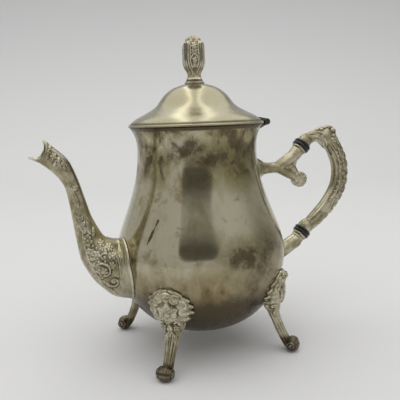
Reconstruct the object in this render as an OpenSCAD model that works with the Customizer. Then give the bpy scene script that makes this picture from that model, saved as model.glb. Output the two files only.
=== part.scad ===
// Footed coffee pot of plated metal: a spun belly on four cast cabriole legs, a cast
// swan-neck spout, a scroll handle held between two heat breaks, and a domed lid
// with a leaf-bud finial on a five-knuckle hinge.
// Millimetres, +Z up, table at z = 0. The handle points along +X and the spout along -X.

/* [Body] */
// Radius of the belly where it is widest
belly_r = 69; // [58:1:84]
// Height of the widest place
belly_z = 80; // [70:1:90]
// Radius of the neck at its narrowest
neck_r = 47.8; // [39:0.2:52]
// Height of the narrowest place of the neck
neck_z = 163; // [150:1:168]
// Radius of the mouth at the top of the flare
mouth_r = 52.7; // [50:0.1:58]
// Height of the mouth's top edge
mouth_z = 180; // [174:1:216]
// Height of the flat underside above the table
base_z = 21; // [17:0.5:26]
// Wall of the spun body
wall = 1.2; // [1:0.1:1.6]

/* [Mouth ring and lid] */
// Depth of the ring's skirt
ring_depth = 5; // [3:0.5:8]
// Overhang of the lid's rolled edge beyond the mouth
lid_overhang = 1.3; // [0.8:0.1:3]
// Height of the dome above the lid's edge
dome_h = 30.4; // [24:0.2:38]
// Wall of the spun lid
lid_wall = 1.1; // [0.9:0.1:1.5]
// Depth of the locating bezel below the lid's edge
bezel_depth = 9; // [6:0.5:11]
// Gap between the bezel and the ring
bezel_gap = 0.9; // [0.7:0.1:1.5]

/* [Finial] */
// Height of the leaf bud
bud_h = 32; // [24:0.5:38]
// Radius of the leaf bud
bud_r = 9.8; // [8:0.1:12]
// Number of leaves wrapped round the bud
leaves = 4; // [3:1:6]
// Radius of the finial's stud
stud_r = 2; // [1.5:0.1:2.5]

/* [Hinge] */
// Distance of the hinge pin behind the lid's edge
hinge_offset = 7.5; // [6.5:0.1:9]
// Outer radius of the knuckles
knuckle_r = 2.6; // [2.2:0.1:3.2]
// Radius of the hinge pin
pin_r = 1; // [0.8:0.1:1.2]
// Length of the whole row of knuckles
hinge_w = 17; // [14:0.5:24]
// Number of knuckles
knuckles = 5; // [3:2:7]

/* [Spout] */
// Reach of the lower lip from the pot's axis
spout_reach = 130.4; // [124:0.2:156]
// Height of the upper lip
spout_top = 175; // [165:1:200]
// Height of the middle of the spout's foot on the belly
spout_root_z = 72; // [68:0.5:78]
// Half the height of the spout's foot
foot_half_h = 25; // [22:0.5:27]
// Half the width of the spout's foot
foot_half_w = 21.5; // [18:0.5:26]
// Wall of the cast spout
spout_wall = 1.7; // [1.4:0.1:2]
// Depth of the beak's notch
beak = 6; // [2:0.1:7]
// Diameter of a strainer hole
strain_d = 4; // [3:0.5:4.5]

/* [Handle] */
// Reach of the grip from the pot's axis
handle_reach = 150; // [140:1:180]
// Height of the upper heat break
upper_z = 159; // [152:0.5:164]
// Height of the lower heat break
lower_z = 81.6; // [76:0.5:88]
// Distance of the heat breaks from the pot's axis
break_x = 100.4; // [96:0.2:106]
// Radius of a heat break
break_r = 7.8; // [7:0.1:9]
// Thickness of a heat break
break_t = 5.6; // [4:0.1:7]
// Half the depth of the grip where it is thickest
grip_r = 8; // [6.5:0.1:9]
// Height of the flower crest above the grip
crest_h = 6; // [2:0.1:8]

/* [Legs] */
// Radius of the circle that the feet stand on
stand_r = 76.5; // [70:0.5:84]
// Radius of a foot scroll
toe_r = 5.9; // [5:0.1:7]
// Half the width of a foot scroll
toe_half_w = 6.9; // [6:0.1:8]
// Half the width of the shell on the belly
shell_half_w = 20; // [16:0.5:23]
// Height of the shell's top
shell_top = 66; // [60:0.5:68]
// Number of lobes along each edge of the shell
shell_lobes = 5; // [2:1:6]

/* [Hidden] */
$fn = 96;

silver = "#b9b39c";
bright = "#cfc8b0";
tarnish = "#8f8871";
ebony = "#26282a";

seat = 0.1;                          // gap between a turned or trimmed piece and its seat
cast_seat = 0.3;                     // gap between a faceted casting and the belly
lift = 0.3;                          // lid's clearance above the mouth
big = 400;                           // longer than anything here
tiny = 0.01;
lean = 45;                           // tilt of both heat breaks' axis
axis_x = (spout_reach - handle_reach) / 2;   // pot's axis in the part's frame

// ---- curves -------------------------------------------------------------

// Point on a smooth curve through all the points in p; t runs from 0 to 1.
function spline(p, t) =
    let (n = len(p) - 1, s = min(t * n, n - tiny / 100), i = floor(s), u = s - i,
        a = p[max(i - 1, 0)], b = p[i], c = p[i + 1], d = p[min(i + 2, n)])
    b + u * (c - a) / 2 + u * u * (2 * a - 5 * b + 4 * c - d) / 2
        + u * u * u * (3 * b - 3 * c + d - a) / 2;

// The same curve as a list of n + 1 points.
function curve(p, n) = [for (i = [0 : n]) spline(p, i / n)];

function unit(v) = v / norm(v);
function mix(a, b, k) = a * (1 - k) + b * k;
function ramp(x, low, high) = min(1, max(0, (x - low) / (high - low)));
function bell(x, middle, width) = exp(-pow((x - middle) / width, 2));
function reverse(p) = [for (i = [len(p) - 1 : -1 : 0]) p[i]];

// Direction of travel at point i of an outline.
function heading(p, i) = unit(p[min(i + 1, len(p) - 1)] - p[max(i - 1, 0)]);

// An outline moved sideways by w, to the left of its direction of travel.
function beside(p, w) =
    [for (i = [0 : len(p) - 1]) let (t = heading(p, i)) p[i] + w * [-t[1], t[0]]];

// Faces between rings of n points. A loop also joins the last ring to the first.
function skin_faces(rings, n, loop) =
    [for (i = [0 : (loop ? rings - 1 : rings - 2)], j = [0 : n - 1], half = [0, 1])
        let (k = (i + 1) % rings, m = (j + 1) % n)
        half == 0 ? [i * n + j, k * n + j, i * n + m] : [k * n + j, k * n + m, i * n + m]];

// Solid between rings. Its ends are flat, unless it is a loop.
module skin(rings, loop = false) {
    n = len(rings[0]);
    last = len(rings) - 1;
    caps = loop ? [] : [[for (j = [0 : n - 1]) j], [for (j = [n - 1 : -1 : 0]) last * n + j]];
    polyhedron([for (r = rings) each r], concat(skin_faces(len(rings), n, loop), caps), 8);
}

// ---- body ---------------------------------------------------------------

keel_z = base_z - 6;                 // where the lower curve would close
belly_round = 1.97;                  // roundness of the lower curve, up and down
belly_square = 2.44;                 // and across
shoulder_ease = 0.8;                 // how early the shoulder leaves the belly
flare_ease = 2.4;                    // how late the neck opens into the mouth

// Outer radius of the body at height z.
function body_r(z) =
    z < belly_z
        ? belly_r * pow(1 - pow((belly_z - z) / (belly_z - keel_z), belly_round), 1 / belly_square)
    : z < neck_z
        ? mix(neck_r, belly_r, (1 + cos(180 * pow((z - belly_z) / (neck_z - belly_z), shoulder_ease))) / 2)
    : neck_r + (mouth_r - neck_r) * pow((z - neck_z) / (mouth_z - neck_z), flare_ease);

body_outline = [
    for (i = [0 : 17]) let (z = mix(base_z, belly_z, pow(i / 18, 1.5))) [body_r(z), z],
    for (i = [0 : 19]) let (z = mix(belly_z, neck_z, i / 20)) [body_r(z), z],
    for (i = [0 : 8]) let (z = mix(neck_z, mouth_z, i / 8)) [body_r(z), z]];
body_inside = beside(body_outline, wall);

// Inner radius of the body at height z, where the wall may slope.
function inside_r(z) = body_r(z) - wall * norm([1, (body_r(z + tiny) - body_r(z - tiny)) / (2 * tiny)]);

ring_r = neck_r - wall;              // the mouth ring lines up with the inside of the neck
lid_r = mouth_r + lid_overhang;      // radius of the lid's rolled edge
floor_z = base_z + wall;             // top of the turned-in flange
floor_r = body_r(base_z) - wall / 2;
flange_w = 4;                        // width of the turned-in flange

// Everything inside the body's outer surface, grown by g.
module body_envelope(g = 0) {
    rotate_extrude() polygon(concat([[0, base_z - g]], beside(body_outline, -g), [[0, mouth_z]]));
}

// Places of the strainer holes behind the spout, as [y, z].
strain_pitch = strain_d * 1.75;
strain_holes = [for (row = [-2 : 2], k = [-2 : 2])
    let (y = (k + (row % 2 == 0 ? 0 : 0.5)) * strain_pitch, z = row * strain_pitch * 0.87)
    if (norm([y / (foot_half_w - 7), z / (foot_half_h - 8)]) < 1) [y, spout_root_z + z]];

module body() {
    color(silver) difference() {
        rotate_extrude() polygon(concat(
            body_outline, [[mouth_r - wall, mouth_z]],
            reverse([for (p = body_inside) if (p[1] > floor_z + 1 && p[1] < mouth_z - 0.5) p]),
            [[floor_r, floor_z], [floor_r - flange_w, floor_z], [floor_r - flange_w, base_z]]));
        for (h = strain_holes)
            translate([-belly_r - 2, h[0], h[1]]) rotate([0, 90, 0]) cylinder(d = strain_d, h = 16);
    }
}

module base_disc() {
    color(tarnish) translate([0, 0, floor_z]) cylinder(r = floor_r - seat, h = wall);
}

// Angle-section ring soldered inside the mouth.
module mouth_ring() {
    low_z = mouth_z - wall;
    color(silver) rotate_extrude() polygon([
        [ring_r, mouth_z - ring_depth], [ring_r + wall, mouth_z - ring_depth],
        [ring_r + wall, low_z], [inside_r(low_z) - seat, low_z],
        [mouth_r - wall - 3 * seat, mouth_z], [ring_r, mouth_z]]);
}

// ---- spout --------------------------------------------------------------

// Shape of the spout from its lip down to its foot. Each row is
// [lower edge out, lower edge up, upper edge out, upper edge up, share of the foot's width]:
// out runs from 0 at the belly to 1 at the lower lip, up from 0 at the root to 1 at the upper lip.
spout_rows = [
    [1.00, 0.88, 0.815, 1.00, 0.34],
    [0.86, 0.825, 0.685, 0.94, 0.34],
    [0.73, 0.755, 0.54, 0.85, 0.32],
    [0.63, 0.67, 0.445, 0.715, 0.30],
    [0.585, 0.555, 0.38, 0.58, 0.31],
    [0.555, 0.41, 0.31, 0.435, 0.37],
    [0.52, 0.24, 0.215, 0.315, 0.49],
    [0.49, 0.12, 0.165, 0.275, 0.63],
    [0.43, 0.03, 0.125, 0.262, 0.735],
    [0.335, -0.065, 0.08, 0.252, 0.83],
    [0.20, -0.155, 0.035, 0.243, 0.90],
    [0.08, -0.205, 0.005, 0.238, 0.94]];
spout_sides = 26;
spout_span = spout_reach - belly_r;
spout_rise = spout_top - spout_root_z;

// A ring of the spout at t from 0 at the lip to 1 at the foot, thinned by the wall w.
function spout_ring(t, w) =
    let (s = spline(spout_rows, t),
        low = [-belly_r - s[0] * spout_span, 0, spout_root_z + s[1] * spout_rise],
        high = [-belly_r - s[2] * spout_span, 0, spout_root_z + s[3] * spout_rise],
        middle = (low + high) / 2, up = high - middle, deep = norm(up) - w, wide = s[4] * foot_half_w - w,
        out = cross(unit(up), [0, 1, 0]), notch = beak * pow(1 - ramp(t, 0, 0.13), 1.5))
    [for (j = [0 : spout_sides - 1]) let (a = -360 * j / spout_sides)
        middle + deep * cos(a) * unit(up) + [0, wide * sin(a), 0]
            - notch * pow(abs(sin(a)), 1.3) * out];

// A ring lying on the belly round the spout's root, g above the surface.
function root_ring(half_h, half_w, g) =
    [for (j = [0 : spout_sides - 1])
        let (a = -360 * j / spout_sides, y = half_w * sin(a), z = spout_root_z + half_h * cos(a),
            r = body_r(z) + g)
        [-sqrt(r * r - y * y), y, z]];

foot_edge = 1.4;                     // thickness of the foot's moulded edge
module spout() {
    outer_n = 36;
    inner_n = 20;
    color(bright) skin(concat(
        [for (i = [0 : outer_n]) spout_ring(i / outer_n, 0)],
        [root_ring(foot_half_h - 1.2, foot_half_w - 1, foot_edge + 0.6),
         root_ring(foot_half_h, foot_half_w, foot_edge),
         root_ring(foot_half_h, foot_half_w, cast_seat),
         root_ring(foot_half_h - 4, foot_half_w - 4, cast_seat),
         root_ring(foot_half_h - 7, foot_half_w - 6, cast_seat)],
        [for (i = [inner_n : -1 : 0]) let (t = i / inner_n * 0.97)
            spout_ring(t, mix(0.8, spout_wall, ramp(t, 0, 0.15)))]), loop = true);
}

// ---- legs ---------------------------------------------------------------

// Shape of a leg from the shell's top down to the toe. Each row is
// [up, stand-out over the belly in mm, way out, depth in mm, share of the shell's half width]:
// up runs from 0 at the table to 1 at the shell's top, and the way out from 0 at the hip,
// where the shank leaves the belly, to 1 at the circle of the feet.
leg_rows = [
    [1.00, 1.4, 0.30, 9, 0.26],
    [0.955, 3.6, 0.30, 9, 0.56],
    [0.89, 4.8, 0.30, 9, 0.86],
    [0.80, 6.4, 0.30, 9, 1.00],
    [0.71, 9.0, 0.30, 9, 0.97],
    [0.64, 11.2, 0.30, 9, 0.80],
    [0.585, 12, 0.31, 10, 0.59],
    [0.53, 13, 0.325, 10.4, 0.49],
    [0.475, 13, 0.335, 8.4, 0.41],
    [0.38, 13, 0.434, 7.7, 0.345],
    [0.275, 13, 0.557, 7.8, 0.305],
    [0.182, 13, 0.687, 8.0, 0.285],
    [0.11, 13, 0.80, 8.2, 0.275],
    [0.055, 13, 0.88, 7, 0.26]];
leg_sides = 24;
shell_rings = 24;                    // rings that the shell takes, and the shank
shank_rings = 9;
shell_share = 7 / 13;                // share of the rows that lie in the shell
knob_r = 3.3;                        // scroll at the top of the shell
leg_edge = 1.2;                      // thickness of the shell at its rim
knob_z = shell_top - 4;
lobe_depth = 0.10;                   // depth of the notches between lobes, as a share of the width
flute_depth = 0.10;                  // depth of the flutes as a share of the stand-out
hip_r = body_r(0.55 * shell_top);

// A ring of the leg at t: its back lies on the belly above, and is round below.
function leg_ring(t) =
    let (s = spline(leg_rows, t), z = s[0] * shell_top,
        on_belly = ramp(s[0], 0.52, 0.60), middle = mix(hip_r, stand_r, s[2]),
        lobes = 1 - lobe_depth * pow(abs(cos(180 * shell_lobes * ramp(s[0], 0.6, 1))), 3) * on_belly,
        half = s[4] * shell_half_w * lobes,
        surface = body_r(max(z, base_z)) + cast_seat)
    [for (j = [0 : leg_sides - 1])
        let (a = -360 * j / leg_sides, e = cos(a),
            flute = 1 - flute_depth * pow(sin(3.5 * a), 2) * (e > 0 ? 1 : 0),
            y = half * sin(a), round_x = middle + s[3] / 2 * e * flute,
            skin_x = sqrt(surface * surface - y * y),
            shell_x = e < -0.001 ? skin_x
                : skin_x + leg_edge + max(s[1] - leg_edge, 0.2) * pow(max(e, 0), 0.8) * flute)
        [mix(round_x, shell_x, on_belly), y, z]];

module leg(azimuth) {
    color(bright) rotate([0, 0, azimuth]) difference() {
        union() {
            skin(concat(
                [for (i = [0 : shell_rings]) leg_ring(shell_share * i / shell_rings)],
                [for (i = [1 : shank_rings]) leg_ring(mix(shell_share, 1, i / shank_rings))]));
            translate([stand_r, 0, toe_r - 0.3]) rotate([90, 0, 0]) toe_scroll();
            translate([body_r(knob_z) + cast_seat + knob_r, 0, knob_z]) rotate([90, 0, 0])
                cylinder(r = knob_r, h = 3 * knob_r, center = true);
        }
        translate([0, 0, -20]) cylinder(r = big, h = 20);
    }
}

// Barrel-shaped scroll under the leg, turned about its own length.
module toe_scroll() {
    steps = 12;
    rotate_extrude() polygon([
        [0, -toe_half_w],
        for (i = [0 : steps]) let (a = -75 + 150 * i / steps)
            [toe_r * pow(cos(a), 0.6), toe_half_w * sin(a) / sin(75)],
        [0, toe_half_w]]);
}

// ---- handle and its sockets --------------------------------------------

spigot_r = 3.2;                      // heat break's spigots
spigot_l = 5.5;
spigot_gap = 0.05;
bore_l = spigot_l + 0.5;
rivet_r = 0.9;
socket_r = 6.6;                      // socket's mouth beside a heat break

// Puts children on a heat break's axis, which points up and out towards the grip.
module at_break(z) {
    translate([break_x, 0, z]) rotate([0, lean, 0]) children();
}

module heat_break() {
    bevel = 0.6;
    color(ebony) rotate_extrude() polygon([
        [0, -break_t / 2 - spigot_l], [spigot_r, -break_t / 2 - spigot_l],
        [spigot_r, -break_t / 2], [break_r - bevel, -break_t / 2], [break_r, bevel - break_t / 2],
        [break_r, break_t / 2 - bevel], [break_r - bevel, break_t / 2], [spigot_r, break_t / 2],
        [spigot_r, break_t / 2 + spigot_l], [0, break_t / 2 + spigot_l]]);
}

// Rivet holes, or the rivets themselves, on both sides of a heat break.
module rivets(r, length) {
    for (side = [-1, 1])
        translate([0, 0, side * (break_t / 2 + spigot_l / 2)]) rotate([90, 0, 0])
            cylinder(r = r, h = length, center = true);
}

module insulator(z) {
    difference() {
        at_break(z) heat_break();
        at_break(z) rivets(rivet_r + spigot_gap, 4 * break_r);
    }
}

module upper_insulator() { insulator(upper_z); }
module lower_insulator() { insulator(lower_z); }
module upper_pins() { color(tarnish) at_break(upper_z) rivets(rivet_r, 2 * socket_r - 3); }
module lower_pins() { color(tarnish) at_break(lower_z) rivets(rivet_r, 2 * socket_r - 3); }

// Bore for the spigot and rivet, on one side of a heat break.
module break_bore(z, side) {
    at_break(z) {
        mirror([0, 0, side < 0 ? 1 : 0])
            translate([0, 0, break_t / 2 - tiny]) cylinder(r = spigot_r + spigot_gap, h = bore_l);
        rivets(rivet_r + spigot_gap, 4 * break_r);
    }
}

// Shape of the grip between the heat breaks: [out, up, half depth as a share of grip_r].
// out runs from 0 at the breaks' axis to 1 at the outermost place, up from 0 at the lower
// break to 1 at the upper one.
grip_rows = [
    [0.19, 1.075, 0.60], [0.335, 1.10, 0.66], [0.487, 1.095, 0.76], [0.636, 1.055, 0.88],
    [0.78, 0.98, 0.97], [0.908, 0.88, 1.0], [0.976, 0.785, 1.0], [1.0, 0.70, 1.0],
    [0.993, 0.605, 1.0], [0.954, 0.508, 1.0], [0.86, 0.41, 0.985], [0.69, 0.295, 0.95],
    [0.523, 0.211, 0.925], [0.359, 0.141, 0.885], [0.222, 0.085, 0.82]];
grip_sides = 20;
crest_at = 0.265;                    // place of the crest along the grip
grip_flat = 0.86;                    // breadth of the grip as a share of its depth
break_dir = [sin(lean), cos(lean)];

function break_face(z) = [break_x, z] + break_dir * break_t / 2;
function grip_point(s) =
    [break_x + s[0] * (handle_reach - grip_r - break_x), mix(lower_z, upper_z, s[1]), s[2] * grip_r];
function on_axis(z, along, r) =
    let (p = break_face(z) + break_dir * along) [p[0], p[1], r];

grip_path = concat(
    [on_axis(upper_z, 0, 5.4), on_axis(upper_z, 3, 5.2)],
    [for (s = grip_rows) grip_point(s)],
    [on_axis(lower_z, 3, 6.1), on_axis(lower_z, 0, 5.9)]);

function grip_ring(line, i) =
    let (c = line[i], last = len(line) - 1,
        t = i == 0 ? break_dir : i == last ? -break_dir
            : unit([line[i + 1][0] - line[i - 1][0], line[i + 1][1] - line[i - 1][1]]),
        outward = [-t[1], 0, t[0]], crest = crest_h * bell(i / last, crest_at, 0.045))
    [for (j = [0 : grip_sides - 1]) let (a = -360 * j / grip_sides)
        [c[0], 0, c[1]] + (c[2] * cos(a) + crest * pow(max(cos(a), 0), 1.5)) * outward
            + [0, (c[2] * grip_flat + crest / 3) * sin(a), 0]];

module handle() {
    line = curve(grip_path, 50);
    color(bright) difference() {
        skin([for (i = [0 : len(line) - 1]) grip_ring(line, i)]);
        break_bore(upper_z, 1);
        break_bore(lower_z, 1);
    }
}

// Mouth of a socket, turned about a heat break's axis.
module socket_mouth(z, length) {
    at_break(z) translate([0, 0, -break_t / 2]) rotate_extrude() polygon([
        [0, 0], [socket_r, 0], [socket_r, -1.6], [socket_r - 0.8, -2.6],
        [socket_r - 1, -length], [0, -length]]);
}

// Round bar between two points of the XZ plane, tapering from r1 to r2.
module bar(p, q, r1, r2) {
    translate([p[0], 0, p[1]]) rotate([0, atan2(q[0] - p[0], q[1] - p[1]), 0])
        cylinder(r1 = r1, r2 = r2, h = norm(q - p));
}

// Trumpet that spreads a stem of radius r onto the belly: its bell opens at the origin to
// r + spread and it runs up along +Z for the length l.
module trumpet(r, spread, l) {
    steps = 10;
    rotate_extrude() polygon(concat(
        [for (i = [0 : steps]) let (a = 90 * i / steps)
            [r + spread * (1 - sin(a)), l * (1 - cos(a))]],
        [[0, l], [0, 0]]));
}

stem_z = upper_z - 17.4;             // height of the upper socket's stem
stem_r = 5;
stem_sunk = 4;                       // how far the stem's root runs into the belly's outline
stem_neck = stem_r - 0.6;            // stem where its trumpet starts
stem_trumpet = [7.5, 14];            // trumpet's width at the belly, and its length
fork_in = 25;                        // fork's distance in from the heat breaks
scroll_in = 2.8;                     // shell scroll's centre, in from the heat break and under the stem
scroll_down = 12;
scroll_stalk = 3.8;                  // radius of the bar that carries the scroll
upper_mouth = 10;                    // length of each socket's mouth
lower_mouth = 9;
mouth_in = 1;                        // how far a bar ends inside its socket's mouth
arm_r = 6.8;                         // lower arm at the belly
arm_sunk = 6;
arm_drop = 23;                       // arm's root, below the lower heat break
arm_trumpet = [6.2, 5, 16];
scroll_r = 7.6;                      // shell scroll under the fork
scroll_half_w = 4.5;
scroll_ribs = 9;
module upper_socket() {
    fork = [break_x - fork_in, stem_z];
    scroll = [break_x - scroll_in, stem_z - scroll_down];
    mouth_back = [break_x, upper_z] - break_dir * (break_t / 2 + upper_mouth - mouth_in);
    root_x = body_r(stem_z) - stem_sunk;
    color(bright) difference() {
        union() {
            socket_mouth(upper_z, upper_mouth);
            bar(fork, mouth_back, 0.96 * stem_r, 0.85 * socket_r);
            translate([fork[0], 0, fork[1]]) sphere(r = stem_r);
            bar([root_x, stem_z], fork, 0.94 * stem_r, 0.98 * stem_r);
            translate([root_x, 0, stem_z]) rotate([0, 90, 0])
                trumpet(stem_neck, stem_trumpet[0], stem_trumpet[1]);
            bar(fork, scroll + [-0.4 * scroll_r, 0.13 * scroll_r], 0.92 * stem_r, scroll_stalk);
            fork_web(fork, scroll, mouth_back);
            translate([scroll[0], 0, scroll[1]]) rotate([90, 0, 0]) shell_scroll();
        }
        body_envelope(seat);
        break_bore(upper_z, -1);
    }
}

// Thin web that fills the crotch of the fork.
module fork_web(fork, scroll, mouth_back) {
    half_w = 2.6;
    translate([0, half_w, 0]) rotate([90, 0, 0]) linear_extrude(height = 2 * half_w)
        polygon([fork, mouth_back + [1, -3], mouth_back + [-0.5, -8], scroll + [-3, 6], scroll + [-5, 2]]);
}

// Scroll with radiating ribs on its two faces, lying along Z.
module shell_scroll() {
    difference() {
        cylinder(r = scroll_r, h = 2 * scroll_half_w, center = true);
        for (k = [0 : scroll_ribs - 1], side = [-1, 1])
            rotate([0, 0, 360 * k / scroll_ribs]) translate([0, 0, side * (scroll_half_w + 0.5)])
                rotate([0, 90, 0]) translate([0, 0, 2.2]) cylinder(r = 1.1, h = scroll_r);
    }
}

module lower_socket() {
    mouth_back = [break_x, lower_z] - break_dir * (break_t / 2 + lower_mouth - mouth_in);
    root = [body_r(lower_z - arm_drop) - arm_sunk, lower_z - arm_drop];
    along = atan2(mouth_back[0] - root[0], mouth_back[1] - root[1]);
    color(bright) difference() {
        union() {
            socket_mouth(lower_z, lower_mouth);
            translate([mouth_back[0], 0, mouth_back[1]]) sphere(r = 0.9 * socket_r);
            bar(root, mouth_back, arm_r, 0.885 * socket_r);
            translate([root[0], 0, root[1]]) rotate([0, along, 0])
                trumpet(arm_trumpet[0], arm_trumpet[1], arm_trumpet[2]);
        }
        body_envelope(seat);
        break_bore(lower_z, -1);
    }
}

// ---- hinge --------------------------------------------------------------

hinge_x = lid_r + hinge_offset;
hinge_z = mouth_z + lift + 1.3;
knuckle_gap = 0.3;
pin_gap = 0.05;
knuckle_l = (hinge_w - (knuckles - 1) * knuckle_gap) / knuckles;

// Knuckles first, first + 2 and so on, each grown by g all round.
module knuckle_row(first, r, g = 0) {
    for (k = [first : 2 : knuckles - 1])
        translate([hinge_x, -hinge_w / 2 + k * (knuckle_l + knuckle_gap) - g, hinge_z])
            rotate([-90, 0, 0]) cylinder(r = r, h = knuckle_l + 2 * g);
}

module hinge_bore() {
    translate([hinge_x, 0, hinge_z]) rotate([90, 0, 0])
        cylinder(r = pin_r + pin_gap, h = 2 * hinge_w, center = true);
}

// A plate drawn in the XZ plane and as wide as the hinge, less the gap g at each side.
module hinge_plate(outline, g = 0) {
    translate([0, hinge_w / 2 - g, 0]) rotate([90, 0, 0])
        linear_extrude(height = hinge_w - 2 * g) polygon(outline);
}

module hinge_body_leaf() {
    top_z = mouth_z - seat;
    bracket = [
        [hinge_x - 1.3 * knuckle_r, top_z], [hinge_x - 0.6 * knuckle_r, hinge_z - 0.4 * knuckle_r],
        [hinge_x + 0.7 * knuckle_r, hinge_z - 0.6 * knuckle_r], [hinge_x - knuckle_r, top_z - 2 * knuckle_r],
        [neck_r - 1, top_z - 3.5 * knuckle_r], [neck_r - 1, top_z]];
    color(tarnish) difference() {
        union() {
            knuckle_row(0, knuckle_r);
            hinge_plate(bracket);
        }
        knuckle_row(1, knuckle_r + knuckle_gap, knuckle_gap);
        body_envelope(seat);
        hinge_bore();
    }
}

module hinge_lid_leaf() {
    under_z = hinge_z + lift;
    tab_root = lid_r - 2.7 * knuckle_r;
    tab = [
        [tab_root, hinge_z + 1.7 * knuckle_r], [lid_r - 1.55 * knuckle_r, hinge_z + 1.77 * knuckle_r],
        [hinge_x, hinge_z + 0.98 * knuckle_r], [hinge_x, under_z], [tab_root, under_z]];
    color(bright) difference() {
        union() {
            knuckle_row(1, knuckle_r);
            hinge_plate(tab, 0.6);
        }
        knuckle_row(0, knuckle_r + knuckle_gap, knuckle_gap);
        lid_envelope(seat / 2);
        hinge_bore();
    }
}

module hinge_pin() {
    color(tarnish) translate([hinge_x, 0, hinge_z]) rotate([90, 0, 0])
        cylinder(r = pin_r, h = hinge_w + 0.8, center = true);
}

// ---- lid and finial -----------------------------------------------------

lid_z = mouth_z + lift;
bead_r = 1.15;                       // roll at the lid's edge
crown_z = lid_z + 2 * bead_r + dome_h;
crown_r = 7;                         // flat top that the finial stands on

// Ogee of the dome from the rolled edge to the crown: [share of lid_r, share of dome_h].
dome_rows = [
    [0.979, 0], [0.892, 0.135], [0.731, 0.283], [0.584, 0.448], [0.470, 0.70],
    [0.356, 0.868], [0.22, 0.968], [crown_r / lid_r, 1]];
dome_outline = [for (p = curve(dome_rows, 28)) [p[0] * lid_r, lid_z + 2 * bead_r + p[1] * dome_h]];
dome_inside = beside(dome_outline, lid_wall);
function bead(from, to) =
    [for (i = [0 : 8]) let (a = mix(from, to, i / 8))
        [lid_r - bead_r + bead_r * cos(a), lid_z + bead_r + bead_r * sin(a)]];

// Everything under the lid's outer surface, grown by g.
module lid_envelope(g = 0) {
    rotate_extrude() polygon(concat([[0, lid_z - g], [lid_r - bead_r, lid_z - g]],
        [for (p = bead(-80, 80)) p + [g, 0]], beside(dome_outline, -g), [[0, crown_z + g]]));
}

module lid() {
    color(bright) rotate_extrude() polygon(concat(
        bead(-90, 85), dome_outline,
        [[stud_r + 0.2, crown_z], [stud_r + 0.2, crown_z - lid_wall]],
        reverse([for (p = dome_inside) if (p[0] < lid_r - 3) p]),
        [[lid_r - 2.6, lid_z + 1.2], [lid_r - 2.6, lid_z]]));
}

// Angle-section ring under the lid: its skirt drops inside the mouth ring.
module lid_bezel() {
    skirt_r = ring_r - bezel_gap;
    color(silver) rotate_extrude() polygon([
        [skirt_r - 1, lid_z - bezel_depth], [skirt_r - 0.3, lid_z - bezel_depth],
        [skirt_r, lid_z - bezel_depth + 1.5], [skirt_r, lid_z],
        [lid_r - 2.6 - seat, lid_z], [lid_r - 2.6 - seat, lid_z + 1], [skirt_r - 1, lid_z + 1]]);
}

collar_h = 5;
module finial_collar() {
    color(bright) difference() {
        translate([0, 0, crown_z]) rotate_extrude() polygon([
            [0, 0], [crown_r + 0.6, 0], [crown_r + 1, 0.8], [crown_r + 0.5, 1.9], [crown_r - 0.4, 2.6],
            [crown_r - 0.8, 3.8], [crown_r - 1.1, 4.6], [crown_r - 1.5, collar_h], [0, collar_h]]);
        translate([0, 0, crown_z - tiny]) cylinder(r = stud_r + 0.1, h = 2 * collar_h);
    }
}

// Shape of the bud from its neck to its tip: [share of bud_h, radius of the inner bud and of
// the leaves as shares of bud_r, spread of a leaf as a share of its sector].
bud_rows = [
    [0, 0.57, 0.57, 1.2], [0.06, 0.54, 0.55, 1.2], [0.14, 0.58, 0.66, 1.15],
    [0.25, 0.72, 0.88, 1.05], [0.38, 0.80, 0.98, 0.98], [0.52, 0.80, 1.0, 0.90],
    [0.65, 0.78, 0.97, 0.78], [0.76, 0.74, 0.90, 0.56], [0.82, 0.71, 0.80, 0.30],
    [0.87, 0.66, 0.66, 0.2], [0.94, 0.50, 0.50, 0.2], [0.985, 0.28, 0.28, 0.2], [1, 0.08, 0.08, 0.2]];
bud_z = crown_z + collar_h;
washer_t = 1;
nut_t = 3;

// Radius of the bud at a row s and at the angle a: leaves stand over the inner bud.
function bud_radius(s, a) =
    let (sector = 360 / leaves, off = abs((a % sector) - sector / 2) / (sector / 2),
        on_leaf = 1 - ramp(off, s[3] - 0.28, s[3] + 0.02))
    bud_r * mix(s[1], s[2], on_leaf);

module finial() {
    sides = 8 * leaves;
    rings = 24;
    color(bright) union() {
        skin([for (i = [0 : rings]) let (s = spline(bud_rows, i / rings))
            [for (j = [0 : sides - 1]) let (a = 360 * j / sides, r = bud_radius(s, a))
                [r * cos(a), r * sin(a), bud_z + s[0] * bud_h]]]);
        translate([0, 0, crown_z - lid_wall - washer_t - nut_t - 1])
            cylinder(r = stud_r, h = collar_h + lid_wall + washer_t + nut_t + 3);
    }
}

module finial_washer() {
    color(tarnish) translate([0, 0, crown_z - lid_wall - washer_t]) difference() {
        cylinder(r = crown_r - 1, h = washer_t);
        translate([0, 0, -1]) cylinder(r = stud_r + 0.1, h = washer_t + 2);
    }
}

module finial_nut() {
    across = 7;
    color(tarnish) translate([0, 0, crown_z - lid_wall - washer_t - nut_t]) difference() {
        cylinder(d = across / cos(30), h = nut_t, $fn = 6);
        translate([0, 0, -1]) cylinder(r = stud_r + 0.05, h = nut_t + 2);
    }
}

// ---- assembly -----------------------------------------------------------

// Moves the pot's axis so that the origin is midway between lip and handle.
module placed() {
    translate([axis_x, 0, 0]) children();
}

placed() body();
placed() base_disc();
placed() mouth_ring();
placed() spout();
placed() leg(-135);  // leg_spout_front
placed() leg(135);  // leg_spout_back
placed() leg(-45);  // leg_handle_front
placed() leg(45);  // leg_handle_back
placed() upper_socket();
placed() upper_insulator();
placed() upper_pins();
placed() handle();
placed() lower_insulator();
placed() lower_pins();
placed() lower_socket();
placed() hinge_body_leaf();
placed() hinge_pin();
placed() lid();
placed() lid_bezel();
placed() hinge_lid_leaf();
placed() finial_collar();
placed() finial();
placed() finial_washer();
placed() finial_nut();
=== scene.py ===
import math

import bpy
import numpy as np
from mathutils import Matrix, Vector


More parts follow.
